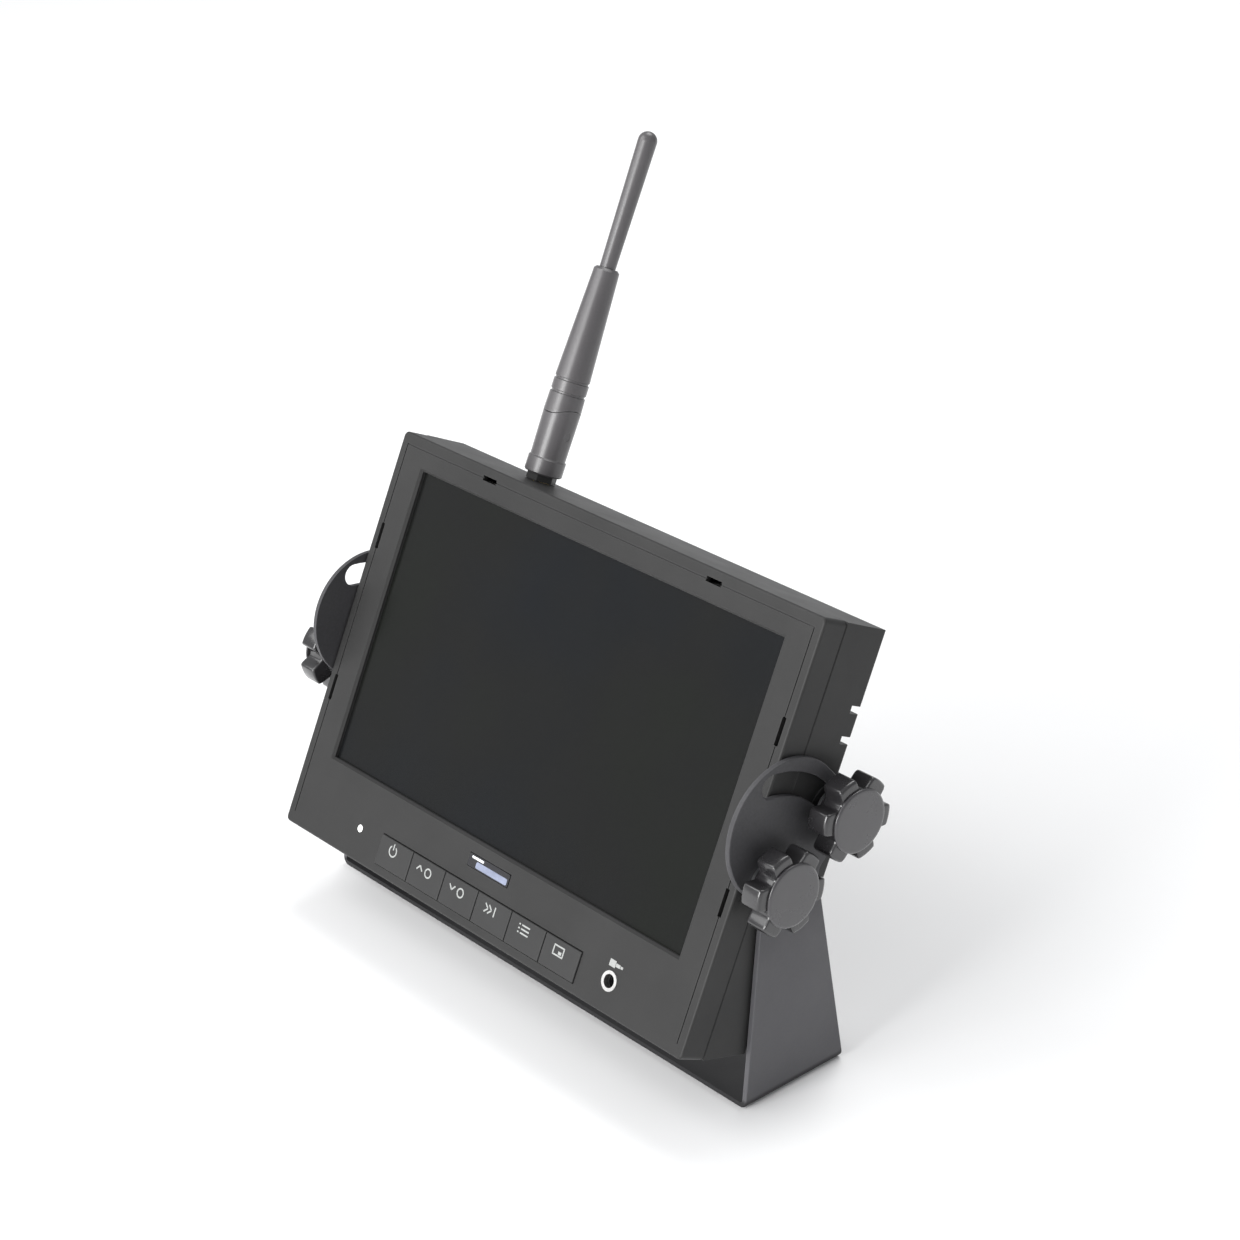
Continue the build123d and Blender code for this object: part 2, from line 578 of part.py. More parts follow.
def receiver_shield():
    """Tin can over the radio circuit."""
    depth = ANT_DEPTH + RECEIVER_OFFSET + RECEIVER_T
    half = SHIELD_HALF_W
    low, high = SHIELD_Z
    can = box(ANT_X - half, ANT_X + half, depth, depth + SHIELD_H, low, high)
    half -= SHIELD_SKIN
    roof = depth + SHIELD_H - SHIELD_SKIN
    return can - box(ANT_X - half, ANT_X + half, depth - PAST, roof, low + SHIELD_SKIN, high - SHIELD_SKIN)


def speaker_frame():
    """Round basket of the loudspeaker."""
    front = HUMP_WALL - BASKET_T
    basket = rod_y(SPEAKER_R, front, HUMP_WALL, SPEAKER_X, SPEAKER_Z)
    bowl = rod_y(SPEAKER_R - BASKET_WALL, front + BASKET_FLOOR, HUMP_WALL + PAST, SPEAKER_X, SPEAKER_Z)
    return basket - bowl


def cone_at(depth):
    """Solid cone, its small end towards the screen."""
    wide = SPEAKER_R - BASKET_WALL - 2 * FIT
    return Pos(SPEAKER_X, depth, SPEAKER_Z) * Rot(-90, 0, 0) * Cone(CONE_SMALL_R, wide, CONE_H)


def speaker_cone():
    """Paper cone inside the basket."""
    depth = HUMP_WALL - CONE_OFFSET
    return cone_at(depth) - cone_at(depth + CONE_SKIN)


def speaker_magnet():
    """Magnet on the speaker's back."""
    front = HUMP_WALL - BASKET_T
    return rod_y(MAGNET_R, front - MAGNET_T, front, SPEAKER_X, SPEAKER_Z)


def cable_grommet():
    """Rubber bush that the power lead comes out through."""
    inside = HUMP_WALL - 2 * FIT
    bush = rod_y(GROMMET_NECK_R, inside, HUMP, GROMMET_X, GROMMET_Z)
    bush += rod_y(GROMMET_FLANGE_R, inside - GROMMET_FLANGE_T, inside, GROMMET_X, GROMMET_Z)
    nose = Cone(GROMMET_NOSE_R, GROMMET_NOSE_END_R, GROMMET_NOSE_L)
    bush += Pos(GROMMET_X, HUMP + GROMMET_NOSE_L / 2, GROMMET_Z) * Rot(-90, 0, 0) * nose
    first = inside - GROMMET_FLANGE_T - PAST
    last = HUMP + GROMMET_NOSE_L + PAST
    return bush - rod_y(GROMMET_BORE_R, first, last, GROMMET_X, GROMMET_Z)


# ---------------------------------------------------------------- keys and front pieces

def key_centre(index):
    """Middle of a key, across the screen."""
    return KEY_WINDOW[0] + KEY_PITCH * (index + 0.5)


def key(index):
    """One push key: raised face, hidden lip and stem."""
    x = key_centre(index)
    half = (KEY_PITCH - KEY_GAP) / 2
    z0, z1 = KEY_WINDOW[2] + KEY_GAP, KEY_WINDOW[3] - KEY_GAP
    cap = box(x - half, x + half, -KEY_PROUD, KEY_BACK, z0, z1)
    cap = fillet(cap.faces().sort_by(Axis.Y)[0].edges(), KEY_EDGE_R)
    lip_top = KEY_WINDOW[3] + KEY_LIP
    cap += box(x - half, x + half, FRONT_WALL + KEY_LIP_CLEAR, KEY_BACK, z1, lip_top)
    stem_end = KEY_BOARD_DEPTH - SWITCH_T + STEM_DEPTH
    return cap + rod_y(STEM_R, KEY_BACK - OVERLAP, stem_end, x, key_middle_z())


def key_middle_z():
    """Height of the key stems."""
    return (KEY_WINDOW[2] + KEY_WINDOW[3]) / 2


def tact_switches():
    """Six push switches, each with a well for its key stem."""
    switches = []
    half = SWITCH_SIZE / 2
    front = KEY_BOARD_DEPTH - SWITCH_T
    for index in range(KEY_COUNT):
        x, z = key_centre(index), key_middle_z()
        switch = box(x - half, x + half, front, KEY_BOARD_DEPTH, z - half, z + half)
        switches.append(switch - rod_y(STEM_R + WELL_FIT, front - PAST, front + WELL_DEPTH, x, z))
    return group(switches)


def key_board():
    """Narrow circuit board behind the keys."""
    x0, x1, z0, z1 = KEY_BOARD
    return box(x0, x1, KEY_BOARD_DEPTH, KEY_BOARD_DEPTH + KEY_BOARD_T, z0, z1)


def led_lens():
    """Clear light pipe of the power light."""
    return rod_y(LED_R, LED_SET_BACK, LIGHT_PIPE_END, LED_X, LED_Z)


def power_led():
    """Light-emitting diode behind the light pipe."""
    return box(LED_X - LED_HALF_W, LED_X + LED_HALF_W, LIGHT_PIPE_END + 2 * FIT, KEY_BOARD_DEPTH,
               LED_Z - LED_HALF_H, LED_Z + LED_HALF_H)


def av_jack_body():
    """Plastic body of the front input jack, on the inside."""
    body = box(JACK_X - JACK_HALF_W, JACK_X + JACK_HALF_W, FRONT_WALL, FRONT_WALL + JACK_L,
               JACK_Z - JACK_HALF_H, JACK_Z + JACK_HALF_H)
    return body - rod_y(JACK_BORE_R, FRONT_WALL - PAST, FRONT_WALL + JACK_BORE_L, JACK_X, JACK_Z)


def av_jack_ring():
    """Bright ring round the jack's mouth."""
    ring = rod_y(JACK_RING_R, -JACK_RING_PROUD, FRONT_WALL, JACK_X, JACK_Z)
    return ring - rod_y(JACK_BORE_R + SCREW_FIT, -PAST, FRONT_WALL + PAST, JACK_X, JACK_Z)


def name_badge():
    """Blank badge plate under the screen."""
    plate = box(-BADGE_HALF_W, BADGE_HALF_W, -BADGE_PROUD, BADGE_DEPTH,
                BADGE_Z - BADGE_HALF_H, BADGE_Z + BADGE_HALF_H)
    return fillet(plate.edges().filter_by(Axis.Y), BADGE_CORNER_R)


# ---------------------------------------------------------------- knobs

def turned(side, depth, up, shape):
    """Put a piece drawn up +z, from z = distance out from the screen's middle, on one side."""
    return Pos(0, depth, up) * Rot(0, 90 * side, 0) * shape


def star_outline():
    """Knob seen end on: wide lobes with narrow scallops between them."""
    star = Circle(KNOB_TIP_R)
    for i in range(LOBES):
        angle = math.radians(KNOB_TURN + 360 * i / LOBES)
        x, y = SCALLOP_CIRCLE * math.cos(angle), SCALLOP_CIRCLE * math.sin(angle)
        star -= Pos(x, y) * Circle(SCALLOP_R)
    return fillet(star.vertices(), LOBE_CORNER_R)


def star_knob():
    """Six-lobed hand knob with a round raised face."""
    z0 = KNOB_X
    z1 = z0 + KNOB_HUB_T
    z2 = z1 + KNOB_STAR_T
    body = extrude(Pos(0, 0, z1) * star_outline(), amount=KNOB_STAR_T)
    body = fillet(body.faces().sort_by(Axis.Z)[-1].edges(), KNOB_EDGE_R)
    face = rod_z(KNOB_FACE_R, z2 - PAST, z2 + KNOB_FACE_T)
    face = fillet(face.edges().sort_by(Axis.Z)[-1], KNOB_FACE_EDGE_R)
    knob = body + face + rod_z(KNOB_HUB_R, z0, z1 + PAST)
    return knob - rod_z(STUD_R, z0 - PAST, z0 + STUD_IN_KNOB)


def knob_stud():
    """Threaded stud fixed in the knob."""
    stud = rod_z(STUD_R, STUD_TIP, KNOB_X + STUD_IN_KNOB)
    return chamfer(stud.edges().sort_by(Axis.Z)[0], STUD_CHAMFER)


def knob_washer():
    """Steel washer under the knob."""
    return rod_z(WASHER_R, WASHER_X, WASHER_X + WASHER_T) - rod_z(STUD_R + FIT, 0, KNOB_X)


# ---------------------------------------------------------------- antenna

def up_antenna(shape):
    """Put a piece drawn up +z from the antenna's lower end on the case."""
    return Pos(ANT_X, ANT_DEPTH, ANT_BASE) * shape


def antenna_socket():
    """Threaded brass socket through the top of the case."""
    ceiling = REAR_TOP - WALL - ANT_BASE
    barrel_end = ceiling - 2 * LOCK_NUT_T
    barrel = rod_z(SOCKET_R, barrel_end, COLLAR_L - 2 * COLLAR_ROOF)
    nut = extrude(RegularPolygon(LOCK_NUT_R, 6), amount=LOCK_NUT_T)
    barrel += Pos(0, 0, ceiling - NUT_GAP - LOCK_NUT_T) * nut
    return barrel + rod_z(SOCKET_TAIL_R, barrel_end - SOCKET_TAIL_L, barrel_end)


def socket_nut():
    """Hex nut that clamps the socket to the case."""
    nut = extrude(RegularPolygon(CLAMP_NUT_R, 6), amount=ANT_START - 2 * NUT_GAP)
    nut = Pos(0, 0, NUT_GAP - ANT_START) * nut
    return nut - rod_z(SOCKET_R + FIT, -ANT_START - PAST, PAST)


def antenna_collar():
    """Smooth collar that screws on the socket."""
    collar = chamfer(rod_z(COLLAR_R, 0, COLLAR_L).edges(), COLLAR_CHAMFER)
    return collar - rod_z(SOCKET_R + FIT, -PAST, COLLAR_L - COLLAR_ROOF)


def antenna_knuckle():
    """Fork of the fold joint, open to the rear."""
    reach = FORK_REACH
    height = HINGE_UP + EAR_R
    fork = Cone(COLLAR_R - COLLAR_CHAMFER, FORK_TOP_R, height - COLLAR_L)
    fork = Pos(0, 0, (COLLAR_L + height) / 2) * fork
    fork &= rod_x(EAR_R, -reach, reach, 0, HINGE_UP) + box(-reach, reach, -reach, reach, COLLAR_L, HINGE_UP)
    slot = TANG_HALF_W + FORK_GAP
    floor = HINGE_UP - TANG_R - FORK_GAP
    fork -= box(-slot, slot, -TANG_R - FORK_GAP, reach, floor, height + PAST)
    return fork - rod_x(PIN_R, -reach, reach, 0, HINGE_UP)


def antenna_pin():
    """Cross pin of the fold joint."""
    return rod_x(PIN_R, -PIN_HALF_L, PIN_HALF_L, 0, HINGE_UP)


def sleeve_outline():
    """Half section of the sleeve, as (radius, height) from the foot to the top."""
    inner = RING_R - RING_GROOVE_DEPTH
    groove = RING_HALF_H + RING_STEP
    edge = groove + RING_GROOVE_W
    return [(0, HINGE_UP + SHOULDER_UP), (SLEEVE_FOOT_R, HINGE_UP + SHOULDER_UP),
            (RING_R + FIT, RING_UP - edge - RING_STEP), (inner, RING_UP - edge),
            (inner, RING_UP - groove), (RING_R, RING_UP - RING_HALF_H),
            (RING_R, RING_UP + RING_HALF_H), (inner, RING_UP + groove),
            (inner, RING_UP + edge), (RING_R - FIT, RING_UP + edge + RING_STEP),
            (SLEEVE_TOP_R, SLEEVE_END - SLEEVE_END_ROUND),
            (SLEEVE_TOP_R - SLEEVE_END_ROUND, SLEEVE_END), (0, SLEEVE_END)]


def antenna_sleeve():
    """Tapered sleeve with a grooved ring and the tang that folds on the pin."""
    reach = FORK_REACH
    face = make_face(Polyline([(r, 0, z) for r, z in sleeve_outline()], close=True))
    sleeve = revolve(face, Axis.Z, 360)
    sleeve -= rod_x(ARCH_R, -reach, reach, 0, HINGE_UP)
    tang = rod_x(TANG_R, -TANG_HALF_W, TANG_HALF_W, 0, HINGE_UP)
    tang += box(-TANG_HALF_W, TANG_HALF_W, -TANG_R, TANG_R, HINGE_UP, HINGE_UP + ARCH_R + PAST)
    sleeve += tang
    sleeve -= rod_z(ROD_R, SLEEVE_END - ROD_BURIED, SLEEVE_END + PAST)
    return sleeve - rod_x(PIN_R + FIT, -reach, reach, 0, HINGE_UP)


def antenna_rod():
    """Slim upper rod that thickens to a rounded tip."""
    flare = ROD_END - ROD_TIP_R
    rod = rod_z(ROD_R, SLEEVE_END - ROD_BURIED, SLEEVE_END)
    rod += Pos(0, 0, (SLEEVE_END + flare) / 2) * Cone(ROD_R, ROD_TIP_R, flare - SLEEVE_END)
    return rod + Pos(0, 0, flare) * Sphere(ROD_TIP_R)


# ---------------------------------------------------------------- write the assembly

save("u_bracket", u_bracket())

MONITOR_PIECES = {
    "front_bezel": front_bezel, "rear_case": rear_case, "case_screws": case_screws,
    "bracket_inserts": bracket_inserts, "friction_pads": friction_pads,
    "screen_glass": screen_glass, "backlight": backlight, "lcd_tray": lcd_tray,
    "lcd_screws": lcd_screws, "board_standoffs": board_standoffs, "main_board": main_board,
    "board_parts": board_parts, "board_screws": board_screws, "receiver_board": receiver_board,
    "receiver_shield": receiver_shield, "speaker_frame": speaker_frame,
    "speaker_cone": speaker_cone, "speaker_magnet": speaker_magnet,
    "cable_grommet": cable_grommet, "tact_switches": tact_switches, "key_board": key_board,
    "led_lens": led_lens, "power_led": power_led, "av_jack_body": av_jack_body,
    "av_jack_ring": av_jack_ring, "name_badge": name_badge,
}
for piece_name, make in MONITOR_PIECES.items():
    save(piece_name, make(), IN_MONITOR)

for number in range(KEY_COUNT):
    save("key_" + str(number + 1), key(number), IN_MONITOR)

for side_name, hand in SIDES.items():
    for place_name, (screw_depth, screw_up) in SCREW_POINTS.items():
        tag = place_name + "_" + side_name
        save("knob_" + tag, turned(hand, screw_depth, screw_up, star_knob()), IN_MONITOR)
        save("stud_" + tag, turned(hand, screw_depth, screw_up, knob_stud()), IN_MONITOR)
        save("washer_" + tag, turned(hand, screw_depth, screw_up, knob_washer()), IN_MONITOR)

ANTENNA_PIECES = {
    "antenna_socket": antenna_socket, "socket_nut": socket_nut, "antenna_collar": antenna_collar,
    "antenna_knuckle": antenna_knuckle, "antenna_pin": antenna_pin,
    "antenna_sleeve": antenna_sleeve, "antenna_rod": antenna_rod,
}
for piece_name, make in ANTENNA_PIECES.items():
    save(piece_name, up_antenna(make()), IN_MONITOR)
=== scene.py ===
import json
import math

import bmesh
import bpy
from mathutils import Matrix, Vector


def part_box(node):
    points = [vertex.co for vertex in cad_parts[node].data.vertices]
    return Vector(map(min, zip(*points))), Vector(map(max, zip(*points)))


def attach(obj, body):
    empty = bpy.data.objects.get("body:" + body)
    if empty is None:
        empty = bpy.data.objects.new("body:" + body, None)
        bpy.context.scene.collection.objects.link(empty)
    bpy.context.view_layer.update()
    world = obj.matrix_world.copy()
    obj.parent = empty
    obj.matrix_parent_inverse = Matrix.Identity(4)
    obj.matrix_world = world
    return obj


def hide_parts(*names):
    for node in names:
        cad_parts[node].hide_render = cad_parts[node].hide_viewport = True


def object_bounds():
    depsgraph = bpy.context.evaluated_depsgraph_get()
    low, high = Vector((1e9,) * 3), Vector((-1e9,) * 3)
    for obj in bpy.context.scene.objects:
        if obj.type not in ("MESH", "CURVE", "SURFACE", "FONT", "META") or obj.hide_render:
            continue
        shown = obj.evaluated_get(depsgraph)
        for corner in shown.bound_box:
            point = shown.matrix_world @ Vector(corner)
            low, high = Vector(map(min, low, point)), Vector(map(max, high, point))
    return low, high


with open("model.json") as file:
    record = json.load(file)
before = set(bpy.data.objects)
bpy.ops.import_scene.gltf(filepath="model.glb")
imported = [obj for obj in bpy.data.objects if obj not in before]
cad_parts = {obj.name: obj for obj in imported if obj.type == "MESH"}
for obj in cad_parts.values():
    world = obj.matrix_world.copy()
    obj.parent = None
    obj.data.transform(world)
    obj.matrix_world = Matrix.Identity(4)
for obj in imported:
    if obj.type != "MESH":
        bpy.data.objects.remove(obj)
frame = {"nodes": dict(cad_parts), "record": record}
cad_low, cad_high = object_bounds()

# Looks of a seven-inch wireless monitor that tilts in a U-bracket under four star knobs.
# The scene is in metres, in the part's own frame. Lengths are written as millimetres times MM.
MM = 0.001
TILT_BACK = math.radians(26.6)
# How far the middle of the glass lies behind the front of the case.
GLASS_MID_DEPTH = 2.35 * MM
# The knobs' round faces stand above the ends of their lobes, measured along x from the middle.
KNOB_FACE_RISE = 0.9 * MM
KNOB_LOBE_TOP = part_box("knob_pivot_right")[1].x - KNOB_FACE_RISE
# Points closer than this are one point.
WELD = 0.0001 * MM


# ------------------------------------------------------------------ frame helpers

def box_middle(node):
    """Middle of a CAD node's box."""
    low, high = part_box(node)
    return (low + high) / 2


def monitor_matrix():
    """Places the monitor's own frame: x across, y into the depth, z up, origin mid-screen."""
    turn = Matrix.Rotation(-TILT_BACK, 4, "X")
    to_front = Matrix.Translation((0, -GLASS_MID_DEPTH, 0))
    return Matrix.Translation(box_middle("screen_glass")) @ turn @ to_front


MONITOR = monitor_matrix()
TO_MONITOR = MONITOR.inverted()


def in_monitor(node):
    """Middle of a CAD node in the monitor's own frame."""
    return TO_MONITOR @ box_middle(node)


def new_object(name, mesh_maker, matrix, body, material, smooth_angle=35):
    """A finished mesh piece: built by mesh_maker(bm), placed, given its body and finish."""
    mesh = bpy.data.meshes.new(name)
    bm = bmesh.new()
    mesh_maker(bm)
    bmesh.ops.remove_doubles(bm, verts=bm.verts, dist=WELD)
    bmesh.ops.recalc_face_normals(bm, faces=bm.faces)
    bm.to_mesh(mesh)
    bm.free()
    mesh.transform(matrix)
    obj = bpy.data.objects.new(name, mesh)
    bpy.context.scene.collection.objects.link(obj)
    mesh.materials.append(material)
    mesh.shade_smooth()
    mesh.set_sharp_from_angle(angle=math.radians(smooth_angle))
    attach(obj, body)
    return obj


# ------------------------------------------------------------------ mesh makers

FULL_TURN = 360.0
ARC_STEPS = 40


def add_rings(bm, rings, cap_start=False, cap_end=False):
    """Skin a list of closed rings of points, each with the same count."""
    loops = [[bm.verts.new(p) for p in ring] for ring in rings]
    count = len(loops[0])
    for low, high in zip(loops, loops[1:]):
        for i in range(count):
            j = (i + 1) % count
            bm.faces.new((low[i], low[j], high[j], high[i]))
    if cap_start:
        bm.faces.new(list(reversed(loops[0])))
    if cap_end:
        bm.faces.new(loops[-1])


def circle(radius, z, count):
    """A ring of points about the z axis."""
    step = 2 * math.pi / count
    return [(radius * math.cos(i * step), radius * math.sin(i * step), z) for i in range(count)]


def prism(bm, outline, z0, z1):
    """A flat plate from an outline of (x, y)."""
    add_rings(bm, [[(x, y, z0) for x, y in outline], [(x, y, z1) for x, y in outline]],
              cap_start=True, cap_end=True)


def annulus(bm, x, y, inner, outer, z0, z1, start, sweep):
    """A flat ring or an open arc of a ring, swept from an angle in degrees."""
    full = sweep == FULL_TURN
    steps = ARC_STEPS if full else ARC_STEPS + 1
    angles = [math.radians(start + sweep * i / ARC_STEPS) for i in range(steps)]
    rings = []
    for a in angles:
        c, s = math.cos(a), math.sin(a)
        rings.append([(x + inner * c, y + inner * s, z0), (x + outer * c, y + outer * s, z0),
                      (x + outer * c, y + outer * s, z1), (x + inner * c, y + inner * s, z1)])
    if full:
        add_rings(bm, rings + rings[:1])
    else:
        add_rings(bm, rings, cap_start=True, cap_end=True)


def bar(bm, x, y, length, width, z0, z1, angle):
    """A thin straight stroke with square ends."""
    c, s = math.cos(math.radians(angle)), math.sin(math.radians(angle))
    half_l, half_w = length / 2, width / 2
    corners = [(-half_l, -half_w), (half_l, -half_w), (half_l, half_w), (-half_l, half_w)]
    prism(bm, [(x + a * c - b * s, y + a * s + b * c) for a, b in corners], z0, z1)


# ------------------------------------------------------------------ materials

# Cosine of a bevelled normal's lean where the lightened edge starts, and where it counts in full: a painted
# highlight on edges, which also stands for rubbed wear.
EDGE_STARTS, EDGE_FULL = 0.98, 0.75
BEVEL_SAMPLES = 6
KNOB_FACE_BLEND = 0.3 * MM

# Heights on the bracket, in metres, for painted shade: the arms darken towards their round heads, and the
# top of the base is darkened as a painted shadow under the monitor.
ARM_PALE_BELOW, ARM_DARK_ABOVE = 40 * MM, 78 * MM
BASE_DARK_BELOW, BASE_SHADOW_ENDS_ABOVE = 1.6 * MM, 3.2 * MM
ARM_HEAD_PAINTED_SHADE, BASE_PAINTED_SHADOW = 0.50, 0.22

# Sockets of a Mix node that mixes colours.
MIX_FACTOR, MIX_FIRST, MIX_SECOND, MIX_RESULT = 0, 6, 7, 2


def grey(level):
    """A neutral colour."""
    return (level, level, level)


def scaled(colour, times):
    """A colour made lighter or darker, and never more than white."""
    return tuple(min(1.0, channel * times) for channel in colour)


def node_material(name):
    """An empty node material with its shader and a coordinate that moves with the piece."""
    material = bpy.data.materials.new(name)
    material.use_nodes = True
    tree = material.node_tree
    shader = tree.nodes["Principled BSDF"]
    place = tree.nodes.new("ShaderNodeTexCoord")
    return material, tree, shader, place.outputs["Object"]


def noise(tree, place, scale, detail=4.0, roughness=0.55):
    """Fractal noise at a scale in cycles per metre."""
    node = tree.nodes.new("ShaderNodeTexNoise")
    node.inputs["Scale"].default_value = scale
    node.inputs["Detail"].default_value = detail
    node.inputs["Roughness"].default_value = roughness
    tree.links.new(place, node.inputs["Vector"])
    return node.outputs["Fac"]


def ramp(tree, value, stops):
    """A colour ramp from a list of (position, rgb)."""
    node = tree.nodes.new("ShaderNodeValToRGB")
    elements = node.color_ramp.elements
    while len(elements) < len(stops):
        elements.new(0.5)
    for element, (position, colour) in zip(elements, stops):
        element.position = position
        element.color = (*colour, 1.0)
    tree.links.new(value, node.inputs["Fac"])
    return node.outputs["Color"]


def mapped(tree, value, low, high):
    """A 0 to 1 value spread over a new range."""
    node = tree.nodes.new("ShaderNodeMapRange")
    node.inputs["To Min"].default_value = low
    node.inputs["To Max"].default_value = high
    tree.links.new(value, node.inputs["Value"])
    return node.outputs["Result"]


def eased(tree, value, start, end):
    """0 up to start and 1 from end on, with a soft step between; start may be the larger."""
    node = tree.nodes.new("ShaderNodeMapRange")
    node.interpolation_type = "SMOOTHSTEP"
    node.inputs["From Min"].default_value = start
    node.inputs["From Max"].default_value = end
    tree.links.new(value, node.inputs["Value"])
    return node.outputs["Result"]


def mix_colour(tree, factor, first, second, blend="MIX"):
    """Mix two colours, each a socket or an rgb."""
    node = tree.nodes.new("ShaderNodeMix")
    node.data_type = "RGBA"
    node.blend_type = blend
    for index, value in ((MIX_FACTOR, factor), (MIX_FIRST, first), (MIX_SECOND, second)):
        socket = node.inputs[index]
        if hasattr(value, "is_linked"):
            tree.links.new(value, socket)
        elif isinstance(value, (tuple, list)):
            socket.default_value = (*value, 1.0)
        else:
            socket.default_value = value
    return node.outputs[MIX_RESULT]


def shaded(tree, tone, share):
    """A tone darkened to a share of itself."""
    return mix_colour(tree, 1.0, tone, grey(share), "MULTIPLY")


def edge_wear_and_highlight_mask(tree, radius, strength):
    """1 on edges and 0 on flats, from how far a bevelled normal leans: the mask of the painted edge
    highlight, which also stands for rubbed wear.
    """
    bevel = tree.nodes.new("ShaderNodeBevel")
    bevel.samples = BEVEL_SAMPLES
    bevel.inputs["Radius"].default_value = radius
    plain = tree.nodes.new("ShaderNodeNewGeometry")
    dot = tree.nodes.new("ShaderNodeVectorMath")
    dot.operation = "DOT_PRODUCT"
    tree.links.new(bevel.outputs["Normal"], dot.inputs[0])
    tree.links.new(plain.outputs["Normal"], dot.inputs[1])
    spread = tree.nodes.new("ShaderNodeMapRange")
    spread.inputs["From Min"].default_value = EDGE_STARTS
    spread.inputs["From Max"].default_value = EDGE_FULL
    spread.inputs["To Max"].default_value = strength
    tree.links.new(dot.outputs["Value"], spread.inputs["Value"])
    return spread.outputs["Result"]


def bump(tree, shader, layers):
    """Chain bump layers of (height socket, strength, distance)."""
    normal = None
    for height, strength, distance in layers:
        node = tree.nodes.new("ShaderNodeBump")
        node.inputs["Strength"].default_value = strength
        node.inputs["Distance"].default_value = distance
        tree.links.new(height, node.inputs["Height"])
        if normal is not None:
            tree.links.new(normal, node.inputs["Normal"])
        normal = node.outputs["Normal"]
    tree.links.new(normal, shader.inputs["Normal"])


def knob_face_mask(tree, place):
    """1 on the round faces of the knobs, which stand farthest out, and 0 on their lobes, where shade is
    painted.
    """
    across = tree.nodes.new("ShaderNodeSeparateXYZ")
    tree.links.new(place, across.inputs["Vector"])
    away = tree.nodes.new("ShaderNodeMath")
    away.operation = "ABSOLUTE"
    tree.links.new(across.outputs["X"], away.inputs[0])
    spread = tree.nodes.new("ShaderNodeMapRange")
    spread.inputs["From Min"].default_value = KNOB_LOBE_TOP
    spread.inputs["From Max"].default_value = KNOB_LOBE_TOP + KNOB_FACE_BLEND
    tree.links.new(away.outputs["Value"], spread.inputs["Value"])
    return spread.outputs["Result"]


def moulded_plastic(name, dark, light, rough, grain=2600.0, grain_depth=0.03, edge_wear_and_highlight=None,
                    coat=0.0, coat_rough=0.22, specular=0.5, lobe_painted_shade=None):
    """Injection-moulded plastic: cloudy tone, fine spark texture, and edges lightened as a painted
    highlight that also stands for rubbed wear.
    """
    material, tree, shader, place = node_material(name)
    tone = ramp(tree, noise(tree, place, scale=38.0, detail=6.0), [(0.3, dark), (0.7, light)])
    specks = noise(tree, place, scale=grain, detail=2.0)
    tone = mix_colour(tree, mapped(tree, specks, 0.0, 0.35), tone, scaled(light, 1.35))
    # Painted shade: the knobs' lobes are darkened to a share of the tone, below their paler round faces.
    if lobe_painted_shade:
        tone = mix_colour(tree, knob_face_mask(tree, place), shaded(tree, tone, lobe_painted_shade), tone)
    # Painted highlight on edges, which also stands for rubbed wear.
    if edge_wear_and_highlight:
        tone = mix_colour(tree, edge_wear_and_highlight_mask(tree, radius=0.5 * MM, strength=0.55), tone, edge_wear_and_highlight)
    tree.links.new(tone, shader.inputs["Base Color"])
    smudge = noise(tree, place, scale=90.0, detail=5.0, roughness=0.6)
    tree.links.new(mapped(tree, smudge, *rough), shader.inputs["Roughness"])
    shader.inputs["Specular IOR Level"].default_value = specular
    shader.inputs["Coat Weight"].default_value = coat
    shader.inputs["Coat Roughness"].default_value = coat_rough
    swell = noise(tree, place, scale=60.0, detail=2.0)
    bump(tree, shader, [(specks, 0.35, grain_depth * MM), (swell, 0.05, 0.2 * MM)])
    return material


def powder_coat(name, dark, light, rough):
    """Powder-coated sheet steel: orange-peel skin, faint mottling, painted shade darkening the heads and
    painted shadow darkening the base, and edges lightened as a painted highlight that also stands for
    rubbed wear.
    """
    material, tree, shader, place = node_material(name)
    tone = ramp(tree, noise(tree, place, scale=26.0, detail=5.0), [(0.32, dark), (0.68, light)])
    split = tree.nodes.new("ShaderNodeSeparateXYZ")
    tree.links.new(place, split.inputs["Vector"])
    height = split.outputs["Z"]
    # Painted shade: the arms darken towards their round heads, to half their tone above 78 mm.
    foot = eased(tree, height, ARM_DARK_ABOVE, ARM_PALE_BELOW)
    tone = mix_colour(tree, foot, shaded(tree, tone, ARM_HEAD_PAINTED_SHADE), tone)
    peel = noise(tree, place, scale=1150.0, detail=3.0, roughness=0.45)
    tone = mix_colour(tree, mapped(tree, peel, 0.0, 0.25), tone, scaled(light, 1.25))
    # Painted highlight on edges, which also stands for rubbed wear.
    tone = mix_colour(tree, edge_wear_and_highlight_mask(tree, radius=0.6 * MM, strength=0.35), tone, scaled(light, 1.6))
    # Painted shadow: the top of the base, under the monitor, is darkened to 0.22 of its tone.
    base_painted_shadow = eased(tree, height, BASE_DARK_BELOW, BASE_SHADOW_ENDS_ABOVE)
    tone = mix_colour(tree, base_painted_shadow, shaded(tree, tone, BASE_PAINTED_SHADOW), tone)
    tree.links.new(tone, shader.inputs["Base Color"])
    patches = noise(tree, place, scale=140.0, detail=4.0)
    tree.links.new(mapped(tree, patches, *rough), shader.inputs["Roughness"])
    shader.inputs["Specular IOR Level"].default_value = 0.30
    swell = noise(tree, place, scale=45.0, detail=2.0)
    bump(tree, shader, [(peel, 0.45, 0.05 * MM), (swell, 0.06, 0.4 * MM)])
    return material


